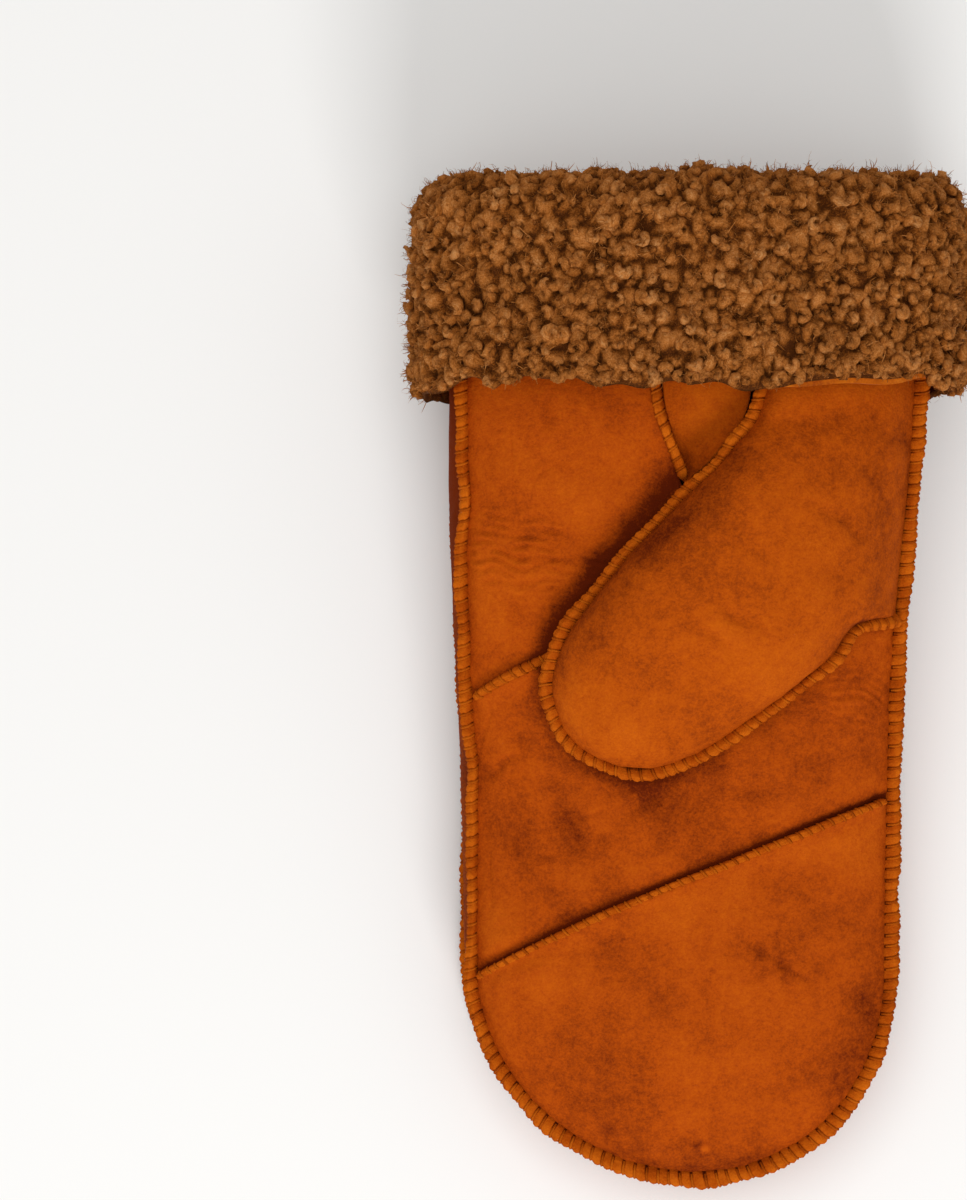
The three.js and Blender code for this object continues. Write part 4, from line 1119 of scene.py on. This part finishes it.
def make_ridge_suede():
    """The suede of a turned-out edge: pale on its beads, with painted shade in the notches between them and
    in the holes that the thread pulls open at its foot."""
    finish = Finish("ridge_suede", Specular_IOR_Level=0.02)
    patches = finish.noise(9, 4, 0.65)
    nap = finish.noise(0.6, 3, 0.7)
    foot = finish.node("Math", {0: finish.shade("over")}, operation="ABSOLUTE").outputs[0]
    notch = finish.spread(finish.shade("pinch"), 0.1, 1, 0, 1)
    tone = finish.sum(
        finish.spread(patches, 0.3, 0.7, 0.5, 0.88),
        # Painted shade in the holes at the ridge's foot and in the notches between beads.
        finish.times(finish.spread(foot, 0.5, 0.9, 0, 1), finish.spread(notch, 0, 1, -0.12, -0.6)),
        finish.times(notch, -0.22),
        finish.spread(nap, 0.2, 0.8, -0.12, 0.12),
    )
    paints = ((0.0, colour(70, 20, 2)), (0.5, colour(160, 67, 6)), (1.0, colour(200, 100, 16)))
    finish.link("Base Color", finish.ramp(tone, *paints))
    finish.link("Roughness", finish.spread(nap, 0.2, 0.8, 0.75, 0.95))
    finish.bump((finish.noise(1.5, 4, 0.7), 0.45), (nap, 0.16))
    return finish.material


def make_waxed_thread():
    """Waxed yellow-brown thread: fine twisted strands, a soft shine, and a slightly different tone in each
    stitch."""
    finish = Finish("waxed_thread", Specular_IOR_Level=0.02)
    strands = finish.noise(0.35, 2, 0.5)
    tone = finish.sum(
        finish.spread(finish.shade("tone"), 0, 1, 0.2, 0.7),
        finish.spread(strands, 0.3, 0.7, -0.2, 0.2),
    )
    finish.link("Base Color", finish.ramp(tone, (0.0, colour(128, 50, 4)), (1.0, colour(188, 94, 14))))
    finish.link("Roughness", finish.spread(strands, 0.3, 0.7, 0.6, 0.8))
    finish.bump((strands, 0.09))
    return finish.material


ridge_suede = make_ridge_suede()
waxed_thread = make_waxed_thread()


def side_ridge_line(seam_z, upward, outer_upward):
    """The line of one of the strip's two seams. Its edges lean up more on the little finger's side."""
    start = seam_turn(-1, np.float64(ridge_top_y))
    turn = np.linspace(start, 3 - start, 1600)
    x, y, out_x, out_y = side_seam(turn)
    up = mix(upward, outer_upward, outer_side(turn))
    return seam_line(np.stack([x, y, seam_z(y)], axis=-1), np.stack([out_x, out_y, up], axis=-1))


def flat_ridge_line(x, y, z, way):
    """The line of a seam on a face, whose edges stand straight up (way 1) or down (-1)."""
    return seam_line(np.stack([x, y, z], axis=-1), np.stack([0 * x, 0 * x, 0 * x + way], axis=-1))


def cross_line(seam, start, end):
    """Places in plan along a seam across the hand, between two shares of the half width."""
    across = np.linspace(start, end, 400)
    y = seam_y(seam, across)
    return across_x(across, y), y


edge_size = dict(width=ridge_width * 0.84, height=ridge_height * 0.9, foot=-0.6)
palm_side_line = side_ridge_line(palm_seam_z, 0.5, 2.4)
back_side_line = side_ridge_line(back_seam_z, -0.3, -0.3)
sewn_seam("palm_side", "palm_side_ridge", palm_side_line, seed=101, **edge_size)
sewn_seam("back_side", "back_side_ridge", back_side_line, seed=103, **edge_size)

rim_path = np.linspace(0.07, 0.992, 900)
rim_ahead = thumb_rim(np.minimum(rim_path + 0.01, 1)) - thumb_rim(rim_path - 0.01)
rim_ahead /= np.linalg.norm(rim_ahead, axis=-1, keepdims=True)
rim_up = mix(1.5, 0.5, smooth(rim_path, 0.22, 0.45)) + 0.5 * smooth(rim_path, 0.68, 0.8)
thumb_line = seam_line(thumb_rim(rim_path), np.stack([rim_ahead[:, 1], -rim_ahead[:, 0], rim_up], axis=-1))
thumb_size = dict(width=ridge_width * 0.74, height=ridge_height * 0.84, foot=-0.9)
sewn_seam("thumb", "thumb_ridge", thumb_line, seed=105, **thumb_size)

crease_x, crease_y = cross_line(palm_crease, -0.985, -root_end)
crease_line = flat_ridge_line(crease_x, crease_y, palm_z(crease_x, crease_y), 1)
crease_size = dict(width=flat_ridge_width * 0.6, height=flat_ridge_height * 0.9, foot=-0.6)
sewn_seam("crease", "palm_crease_ridge", crease_line, seed=107, **crease_size)

finger_x, finger_y = cross_line(finger_seam, -0.99, 0.99)
finger_line = flat_ridge_line(finger_x, finger_y, palm_z(finger_x, finger_y), 1)
finger_size = dict(width=flat_ridge_width * 0.5, height=flat_ridge_height * 0.85, foot=-0.6)
sewn_seam("finger", "palm_finger_ridge", finger_line, seed=109, **finger_size)

root_run_y = np.linspace(ridge_top_y, cuff_y - 0.275 * thumb_span, 200)
root_line = flat_ridge_line(root_x(root_run_y), root_run_y, palm_z(root_x(root_run_y), root_run_y), 1)
root_size = dict(width=flat_ridge_width * 0.66, height=flat_ridge_height, foot=-0.8)
sewn_seam("thumb_root", "thumb_root_ridge", root_line, seed=111, **root_size)

pressed_size = dict(width=flat_ridge_width, height=pressed_ridge, foot=-0.6)
pressed_rise = 0.2  # keeps the thread on the ridge off the ground
middle_run_y = np.linspace(ridge_top_y, seam_y(back_seam, np.float64(0)) + flat_ridge_width, 400)
middle_run_x = middle_x(middle_run_y)
middle_run_z = back_z(middle_run_x, middle_run_y) + pressed_rise
middle_line = flat_ridge_line(middle_run_x, middle_run_y, middle_run_z, -1)
sewn_seam("back_middle", "back_middle_ridge", middle_line, seed=113, **pressed_size)
cross_x, cross_y = cross_line(back_seam, -0.92, 0.92)
back_line = flat_ridge_line(cross_x, cross_y, back_z(cross_x, cross_y) + pressed_rise, -1)
sewn_seam("back_cross", "back_cross_ridge", back_line, seed=115, **pressed_size)

joint_x, joint_y, joint_out_x, joint_out_y = side_seam(joint_turn)
joint_z = np.linspace(back_seam_z(joint_y) + ridge_width, palm_seam_z(joint_y) - ridge_width, 60)
joint_place = np.stack([0 * joint_z + joint_x, 0 * joint_z + joint_y, joint_z], axis=-1)
joint_out = np.stack([0 * joint_z + joint_out_x, 0 * joint_z + joint_out_y, 0 * joint_z], axis=-1)
joint_line = seam_line(joint_place, joint_out)
joint_size = dict(width=flat_ridge_width, height=flat_ridge_height, foot=-0.6)
sewn_seam("strip_joint", "strip_joint_ridge", joint_line, seed=117, **joint_size)

# The turned-back cuff: the same skin folded over the top of the hand, so its suede side is hidden inside
# the fold and only its cut lower edge shows under the fleece.
cuff_width = 155  # across the outside of the fleece
cuff_thickness = 83  # through the outside of the fleece, from the palm to the back
cuff_clearance = 3  # how far the turned-back leather stands off the side seams
cuff_skin_depth = 60  # through the inside of the turned-back leather
cuff_flare = 5  # how much further its lower edge stands off
hem_wave = 1.6  # how much the cuff's lower edge goes up and down
cuff_centre_z = cuff_thickness / 2
cuff_squareness = 2.8  # how full the corners of the cuff's ring are, where 2 is an ellipse
mouth_squareness = 2.1  # the same of the mouth's ring
mouth_pile = 6  # fleece round the inside of the mouth


def ring_point(around, half_x, half_z, y, centre_z, square):
    """A point on an oval ring round the wrist. A larger square makes the oval's corners fuller."""
    angle = 2 * np.pi * around
    x = half_x * np.sign(np.cos(angle)) * np.abs(np.cos(angle)) ** (2 / square)
    z = half_z * np.sign(np.sin(angle)) * np.abs(np.sin(angle)) ** (2 / square)
    return np.stack([x, y + 0 * x, centre_z + z], axis=-1)


def sleeve_point(around, out, y):
    """A point on the turned-back leather's inner side, or a distance out from it. It flares to its edge."""
    flare = cuff_flare * (1 - smooth(y, cuff_y, mix(cuff_y, fold_y, 0.55)))
    half_x = wrist_width / 2 + cuff_clearance + out + flare
    return ring_point(around, half_x, cuff_skin_depth / 2 + out + flare, y, cuff_centre_z, cuff_squareness)


def mouth_point(around, inward, y):
    """A point on the inner side of the hand's leather near the mouth, or a distance in from it."""
    in_hand = np.minimum(y, panel_top_y)
    top = palm_z(middle_x(in_hand), in_hand) - skin - seam_gap
    bottom = back_z(middle_x(in_hand), in_hand) + skin + seam_gap
    half_x = side_x(in_hand) - skin - seam_gap - inward
    return ring_point(around, half_x, (top - bottom) / 2 - inward, y, (top + bottom) / 2, mouth_squareness)


def pile_point(around, inward, y):
    """A point on the outside of the cuff's fleece, or a distance in from it."""
    half_x = cuff_width / 2 - inward
    return ring_point(around, half_x, cuff_centre_z - inward, y, cuff_centre_z, cuff_squareness)


def hem_y(around):
    """The leather's lower edge, which a long wave and a short one carry up and down."""
    return cuff_y + hem_wave * np.sin(6 * np.pi * around + 1) + 0.5 * np.sin(26 * np.pi * around)


def closed_loop(stations, around, rows):
    """Rings carried through stations that lead round a closed loop. Between two stations the rings follow
    the cubic whose slope at a station is that from the one before to the one after, and the rows are spread
    evenly by the run of the loop."""
    rings = np.stack([station(around) for station in stations])
    chords = np.linalg.norm(np.roll(rings, -1, axis=0) - rings, axis=-1).mean(axis=1)
    key = np.insert(np.cumsum(chords), 0, 0)
    ring = np.concatenate([rings[-1:], rings, rings[:2]])
    spot = np.concatenate([[key[0] - chords[-1]], key, [key[-1] + chords[0]]])
    slope = (ring[2:] - ring[:-2]) / (spot[2:] - spot[:-2])[:, None, None]
    at = np.linspace(0, key[-1], rows, endpoint=False)
    i = np.clip(np.searchsorted(key, at, side="right") - 1, 0, len(chords) - 1)
    step = chords[i][:, None, None]
    t = (at - key[i])[:, None, None] / step
    return cubic(t, step, ring[i + 1], ring[i + 2], slope[i], slope[i + 1]), at


def make_cuff_suede():
    """The cuff's suede, paler than the hand's, because it is hidden in the fold and hardly worn."""
    finish = Finish("cuff_suede", Sheen_Weight=0.04, Sheen_Roughness=0.5, Specular_IOR_Level=0.04)
    patches = finish.noise(12, 4, 0.65)
    nap = finish.noise(0.6, 3, 0.7)
    tone = finish.sum(finish.spread(patches, 0.3, 0.7, 0.2, 0.8), finish.spread(nap, 0.2, 0.8, -0.15, 0.15))
    paints = ((0.0, colour(126, 48, 4)), (0.5, colour(176, 86, 10)), (1.0, colour(208, 118, 24)))
    finish.link("Base Color", finish.ramp(tone, *paints))
    finish.link("Roughness", finish.spread(nap, 0.2, 0.8, 0.8, 0.95))
    finish.bump((finish.noise(1.5, 3, 0.6), 0.2), (nap, 0.1))
    return finish.material


cuff_around = np.arange(320) / 320
cuff_stations = [
    lambda around: sleeve_point(around, 0, hem_y(around)),
    lambda around: sleeve_point(around, 0, mix(cuff_y, fold_y, 0.15)),
    lambda around: sleeve_point(around, 0, mix(cuff_y, fold_y, 0.5)),
    lambda around: sleeve_point(around, 0, fold_y - skin),
    lambda around: mouth_point(around, 0.4, fold_y - skin),
    lambda around: mouth_point(around, 0.4, fold_y),
    lambda around: sleeve_point(around, skin / 2, fold_y),
    lambda around: sleeve_point(around, skin, mix(cuff_y, fold_y, 0.5)),
    lambda around: sleeve_point(around, skin, mix(cuff_y, fold_y, 0.15)),
    lambda around: sleeve_point(around, skin, hem_y(around)),
]
cuff_rings = np.stack([station(cuff_around) for station in cuff_stations])
cuff_faces = grid_faces(len(cuff_rings), len(cuff_around), wrap_rows=True, wrap_columns=True)
cuff_piece = finish_mesh("cuff_hide", cuff_rings.reshape(-1, 3), cuff_faces.tolist(), {}, make_cuff_suede())
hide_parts("cuff_skin_palm_half", "cuff_skin_back_half")

# The fleece: dense brown wool in small curled locks, outside the cuff, over the fold and into the mouth.
# A lumpy sheet of wool is its ground. Out of it wind the locks, each like a small snail shell, and fine
# fibres stand off them all.
lump_size = 5.2
lump_rise = 2.6
lock_pitch = 4.2
lock_radius = 1.75  # of the spiral that a lock winds along
lock_thickness = 1.4
lock_height = 2.9
lock_taper = (0.55, 0.86, 1, 1.02, 0.97, 0.86, 0.68, 0.34)  # a lock's thickness at each of its stations
lock_sides = 6
fibre_stations = 4
fibre_half_width = 0.12
off_ground = 0.15  # the least height of locks and fibres
pile_inset = 2.6  # how far the sheet lies in from the outside of the fleece, for the locks to stand on


def even_around(count):
    """Shares of a turn round the cuff that lie evenly spaced along its outer ring."""
    dense = np.linspace(0, 1, 4001)
    steps = np.linalg.norm(np.diff(pile_point(dense, 0, 0), axis=0), axis=-1)
    run = np.insert(np.cumsum(steps), 0, 0)
    return np.interp(np.arange(count) / count * run[-1], run, dense), run[-1]


def lumps(base, run, girth, seed):
    """How high each point of a sheet is on its lump, from 0 at the border to 1 on top. Every point belongs
    to the nearest of many lump centres, which are spread over the sheet by a jittered grid. A lump is the
    top of a ball that is cut down where the second nearest centre is as near."""
    columns = base.shape[1]
    warp = 1.5 * np.stack([waves(base, 9, seed), waves(base, 9, seed + 1)], axis=-1)
    u = np.arange(columns)[None, :] / columns * girth + warp[..., 0]
    v = run[:, None] + warp[..., 1]
    cells_u = int(girth / lump_size)
    cell_u = girth / cells_u
    cells_v = int(run[-1] / lump_size) + 3
    random = np.random.default_rng(seed)
    shift = random.uniform(0.08, 0.92, (cells_v, cells_u, 2))
    trait = random.uniform(0.75, 1.25, (cells_v, cells_u))
    ci, cj = np.floor(u / cell_u).astype(int), np.floor(v / lump_size).astype(int)
    nearest = np.full(base.shape[:2], 1e9)
    second = np.full(base.shape[:2], 1e9)
    for dj in (-1, 0, 1):
        for di in (-1, 0, 1):
            i, j = (ci + di) % cells_u, np.clip(cj + dj + 1, 0, cells_v - 1)
            du = u - (ci + di + shift[j, i, 0]) * cell_u
            dv = v - (cj + dj + shift[j, i, 1]) * lump_size
            gap = np.hypot(du, dv) * trait[j, i]
            second = np.minimum(second, np.maximum(gap, nearest))
            nearest = np.minimum(gap, nearest)
    ball = np.sqrt(np.maximum(1 - (nearest / (0.8 * lump_size)) ** 2, 0))
    return smooth(second - nearest, -0.2, 1.8) * ball


def fleece_sheet(name, node, stations, around_count, rows, wool_rows, seed):
    """A closed sheet of lumpy wool: rings carried round a loop, moved outward by broad tufts and by lumps.
    Only the rows from the first to the last of wool_rows carry wool, and the rest is smooth and hidden."""
    around, girth = even_around(around_count)
    base, run = closed_loop(stations, around, rows)
    along, across = (np.roll(base, -1, axis) - np.roll(base, 1, axis) for axis in (0, 1))
    outward = np.cross(along, across)
    outward /= np.maximum(np.linalg.norm(outward, axis=-1, keepdims=True), 1e-12)
    first, last = run[wool_rows[0]], run[wool_rows[1]]
    wool = (smooth(run, first - 1, first + 2) * (1 - smooth(run, last - 2, last + 1)))[:, None]
    tufted = wool * (0.8 * waves(base, 24, seed + 2) + 1.1 * waves(base, 9, seed + 5) - 0.5)
    base = base + outward * tufted[..., None]
    depth = lumps(base, run, girth, seed)
    lift = wool * (lump_rise * depth + 0.5 * waves(base, 2.4, seed + 3))
    sheet = base + outward * lift[..., None]
    sheet[..., 2] = np.maximum(sheet[..., 2], 0.2)
    faces = grid_faces(rows, around_count, wrap_rows=True, wrap_columns=True)[:, ::-1]
    tone = 0.5 + 0.3 * waves(base, 7, seed + 4)
    # Depth, the height on a lump, darkens the gaps: partly darker roots, partly painted shade.
    shades = dict(depth=(0.75 * wool * depth).ravel(), tone=tone.ravel(), strand=sheet.reshape(-1, 3))
    piece = finish_mesh(name, sheet.reshape(-1, 3), faces.tolist(), shades, fleece_wool)
    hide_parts(node)
    return dict(base=base, outward=outward, run=run, girth=girth, first=first, last=last)


def make_fleece_wool():
    """Brown wool: dark between the locks and ginger on their crowns, partly the wool's darker roots and
    paler tips and partly painted shade in the gaps, and dull all over with a soft sheen.
    """
    finish = Finish("fleece_wool", Sheen_Weight=0.12, Sheen_Roughness=0.6, Specular_IOR_Level=0.06)
    finish.shader.inputs["Sheen Tint"].default_value = colour(220, 150, 80)
    wound = finish.node("Attribute", {}, attribute_name="strand").outputs["Vector"]
    winding = {"Vector": wound, "Scale": 2.2, "Detail": 3, "Roughness": 0.7}
    strands = finish.node("TexNoise", winding).outputs["Fac"]
    tufts = finish.noise(1.4, 4, 0.7, bend=1)
    tone = finish.sum(
        # Darker low on the lumps and locks: partly the wool's roots, partly painted shade in the gaps.
        finish.spread(finish.shade("depth"), 0, 0.9, 0.02, 0.62),
        finish.spread(finish.shade("tone"), 0, 1, -0.1, 0.12),
        finish.spread(strands, 0.25, 0.75, -0.22, 0.22),
        finish.spread(tufts, 0.3, 0.7, -0.12, 0.12),
        finish.spread(finish.noise(15, 3, 0.6), 0.3, 0.7, -0.07, 0.07),
    )
    paints = (
        (0.0, colour(78, 36, 8)),
        (0.3, colour(139, 76, 23)),
        (0.62, colour(183, 112, 51)),
        (1.0, colour(212, 150, 90)),
    )
    finish.link("Base Color", finish.ramp(tone, *paints))
    finish.link("Roughness", finish.spread(strands, 0.2, 0.8, 0.85, 1.0))
    finish.bump((tufts, 0.6), (strands, 0.5))
    return finish.material


fleece_wool = make_fleece_wool()


def unit(vectors):
    """Vectors brought to the length 1."""
    return vectors / np.linalg.norm(vectors, axis=-1, keepdims=True)


def tubes(path, radius, sides, axis):
    """Many tubes at once, as tubes by stations by sides. Each carries a circle along its path, and the axis
    sets where the circle starts."""
    tangent = unit(np.gradient(path, axis=1))
    up = unit(axis - (axis * tangent).sum(-1, keepdims=True) * tangent)
    beside = np.cross(tangent, up)
    turn = np.linspace(0, 2 * np.pi, sides, endpoint=False)[:, None]
    ring = np.cos(turn) * up[:, :, None] + np.sin(turn) * beside[:, :, None]
    return path[:, :, None] + radius[..., None, None] * ring


def wool_locks(name, field, seed):
    """Locks on a jittered grid over the sheet. A lock's tube follows a spiral that leans at random, winds in
    and rises, and swells and tapers on its way. A few locks end in a long pointed tip. The strand vector
    turns with the tube and creeps along it, so that a noise on it is drawn out into wound strands."""
    random = np.random.default_rng(seed)
    columns = int(field["girth"] / lock_pitch)
    rows = int((field["last"] - field["first"]) / lock_pitch) + 1
    j, i = [grid.ravel() for grid in np.meshgrid(np.arange(rows), np.arange(columns), indexing="ij")]
    count = rows * columns
    v = field["first"] + np.maximum(j + random.uniform(-0.34, 0.34, count), 0.1) * lock_pitch
    u = (i + 0.5 * (j % 2) + random.uniform(-0.34, 0.34, count)) / columns
    row = np.clip(np.searchsorted(field["run"], v), 0, len(field["run"]) - 1)
    column = np.round(u * field["base"].shape[1]).astype(int) % field["base"].shape[1]
    place = field["base"][row, column]
    outward = field["outward"][row, column]
    lean = np.where(j == 0, 0.16, 0.42)[:, None]
    axis = unit(outward + lean * random.normal(size=(count, 3)))
    first = unit(np.cross(axis, random.normal(size=(count, 3))))
    second = np.cross(axis, first)
    size = random.uniform(0.7, 1.2, count)[:, None]
    pointed = (random.uniform(0, 1, count) < 0.07)[:, None]
    along = np.linspace(0, 1, len(lock_taper))[None, :]
    angle = random.uniform(3.4, 6.4, count)[:, None] * along * random.choice([-1, 1], count)[:, None]
    reach = lock_radius * size * (1 - 0.75 * along)
    rise = size * (0.2 + lock_height * along**0.8 * np.where(pointed, 1.5, 1))
    path = place[:, None] + axis[:, None] * rise[..., None]
    path = path + first[:, None] * (reach * np.cos(angle))[..., None]
    path = path + second[:, None] * (reach * np.sin(angle))[..., None]
    taper = np.array(lock_taper)[None, :]
    radius = lock_thickness * size * np.where(pointed, taper * (1.05 - 0.75 * along), taper)
    points = tubes(path, radius, lock_sides, axis[:, None])
    points = points + 0.26 * np.stack([waves(points, 1.7, seed + k) for k in (1, 2, 3)], axis=-1)
    points[..., 2] = np.maximum(points[..., 2], off_ground)
    # Height along the lock, which darkens its root: partly darker roots, partly painted shade.
    height = ((points - place[:, None, None]) * outward[:, None, None]).sum(-1)
    depth = np.clip(height / (lock_height + lock_thickness), 0, 1)
    turn = np.linspace(0, 2 * np.pi, lock_sides, endpoint=False)[None, None, :] + 5 * along[..., None]
    creep = 1.5 * along[..., None] + 9 * np.arange(count)[:, None, None] + 0 * turn
    strand = np.stack([1.4 * np.cos(turn) + 0 * creep, 1.4 * np.sin(turn) + 0 * creep, creep], axis=-1)
    tone = np.repeat(random.uniform(0, 1, count), len(lock_taper) * lock_sides)
    shades = dict(depth=depth.ravel(), tone=tone, strand=strand.reshape(-1, 3))
    faces = tube_faces(count, len(lock_taper), lock_sides)
    piece = finish_mesh(name, points.reshape(-1, 3), faces, shades, fleece_wool)
    return dict(path=path, radius=radius, outward=outward)


def wool_fibres(name, locks, count, reach, seed):
    """Loose fibres as thin ribbons. Each starts on the upper side of a lock, first runs on the way that the
    lock winds, and bends round and outward."""
    random = np.random.default_rng(seed)
    lock = random.integers(0, len(locks["path"]), count)
    station = random.integers(1, len(lock_taper) - 1, count)
    outward = locks["outward"][lock]
    ahead = unit(np.gradient(locks["path"], axis=1)[lock, station])
    away = outward + 0.75 * random.normal(size=(count, 3))
    away = unit(away - (away * ahead).sum(-1, keepdims=True) * ahead)
    start = locks["path"][lock, station] + 0.92 * away * locks["radius"][lock, station][:, None]
    ahead = ahead + 0.5 * random.normal(size=(count, 3))
    t = np.linspace(0, 1, fibre_stations)[None, :, None]
    length = (reach * random.uniform(0.4, 1.2, count) ** 1.5)[:, None, None]
    turn = random.uniform(1.4, 4.6, count)[:, None, None]
    curl = ahead[:, None] * np.sin(turn * t) + away[:, None] * (1 - np.cos(turn * t))
    path = start[:, None] + length * curl / turn + 0.15 * length * t * away[:, None]
    path[..., 2] = np.maximum(path[..., 2], off_ground)
    broad = np.cross(np.gradient(path, axis=1), away[:, None])
    broad /= np.maximum(np.linalg.norm(broad, axis=-1, keepdims=True), 1e-9)
    half = fibre_half_width * (1 - 0.8 * t**2)
    ribbon = np.stack([path - broad * half, path + broad * half], axis=2)
    per_fibre = 2 * fibre_stations
    faces = grid_faces(fibre_stations, 2)[None] + per_fibre * np.arange(count)[:, None, None]
    tone = np.repeat(random.uniform(0, 1, count), per_fibre)
    shades = dict(depth=np.full(count * per_fibre, 0.72), tone=tone, strand=ribbon.reshape(-1, 3))
    piece = finish_mesh(name, ribbon.reshape(-1, 3), faces.reshape(-1, 4).tolist(), shades, fleece_wool)


def fringe_y(around):
    """The wool's lower edge. It hangs unevenly past the leather's hem, most at the hand's two sides, but
    over the thumb's root it stops short and the cut edge shows."""
    x = pile_point(around, pile_inset, 0)[..., 0]
    bare = smooth(x, 18, 34) * (1 - smooth(x, 62, 70)) * (np.sin(2 * np.pi * around) > 0)
    hanging = -1.1 + 1.3 * np.sin(x / 7) * np.sin(x / 3.1) - 2.6 * smooth(np.abs(x), 60, 70)
    return hem_y(around) + mix(hanging, 2.2, bare)


cuff_fleece_stations = [
    lambda around: pile_point(around, pile_inset + 1.5, fringe_y(around)),
    lambda around: pile_point(around, pile_inset, mix(cuff_y, top_y, 0.1)),
    lambda around: pile_point(around, pile_inset, mix(cuff_y, top_y, 0.35)),
    lambda around: pile_point(around, pile_inset, mix(cuff_y, top_y, 0.6)),
    lambda around: pile_point(around, pile_inset + 0.6, mix(cuff_y, top_y, 0.82)),
    lambda around: pile_point(around, pile_inset + 4, mix(cuff_y, top_y, 0.94)),
    lambda around: pile_point(around, pile_inset + 10, top_y - 1.6),
    lambda around: mouth_point(around, mouth_pile * 0.3, top_y - 2.2),
    lambda around: mouth_point(around, mouth_pile * 0.9, fold_y + fold_pile * 0.4),
    lambda around: mouth_point(around, mouth_pile * 0.9, fold_y - skin),
    lambda around: mouth_point(around, seam_gap, fold_y - skin),
    lambda around: mouth_point(around, seam_gap, fold_y + seam_gap),
    lambda around: sleeve_point(around, skin + seam_gap, fold_y + seam_gap),
    lambda around: sleeve_point(around, skin + seam_gap, mix(cuff_y, fold_y, 0.5)),
    lambda around: sleeve_point(around, skin + seam_gap, hem_y(around) + hem_wave),
]
cuff_field = fleece_sheet("cuff_wool", "cuff_fleece", cuff_fleece_stations, 400, 110, (1, 66), 201)
cuff_locks = wool_locks("cuff_wool_locks", cuff_field, 203)
wool_fibres("cuff_wool_fibres", cuff_locks, 26000, 2.5, 205)

# The wool inside the mouth: the same fleece as outside, on the inner side of the hand's own leather. Only
# the stretch that shows is made, from the fold down.
lining_depth = 33


def lining_point(inward, down):
    """A ring of the lining: a distance in from the leather, and a share of its depth down from the fold."""
    return lambda around: mouth_point(around, inward, fold_y - skin - seam_gap - lining_depth * down)


lining_stations = [
    lining_point(mouth_pile, 1),
    lining_point(mouth_pile * 0.8, 0.66),
    lining_point(mouth_pile * 0.8, 0.33),
    lining_point(mouth_pile, 0),
    lining_point(seam_gap, 0),
    lining_point(seam_gap, 0.5),
    lining_point(seam_gap, 1),
]
fleece_sheet("mouth_wool", "mouth_fleece", lining_stations, 300, 72, (1, 32), 211)
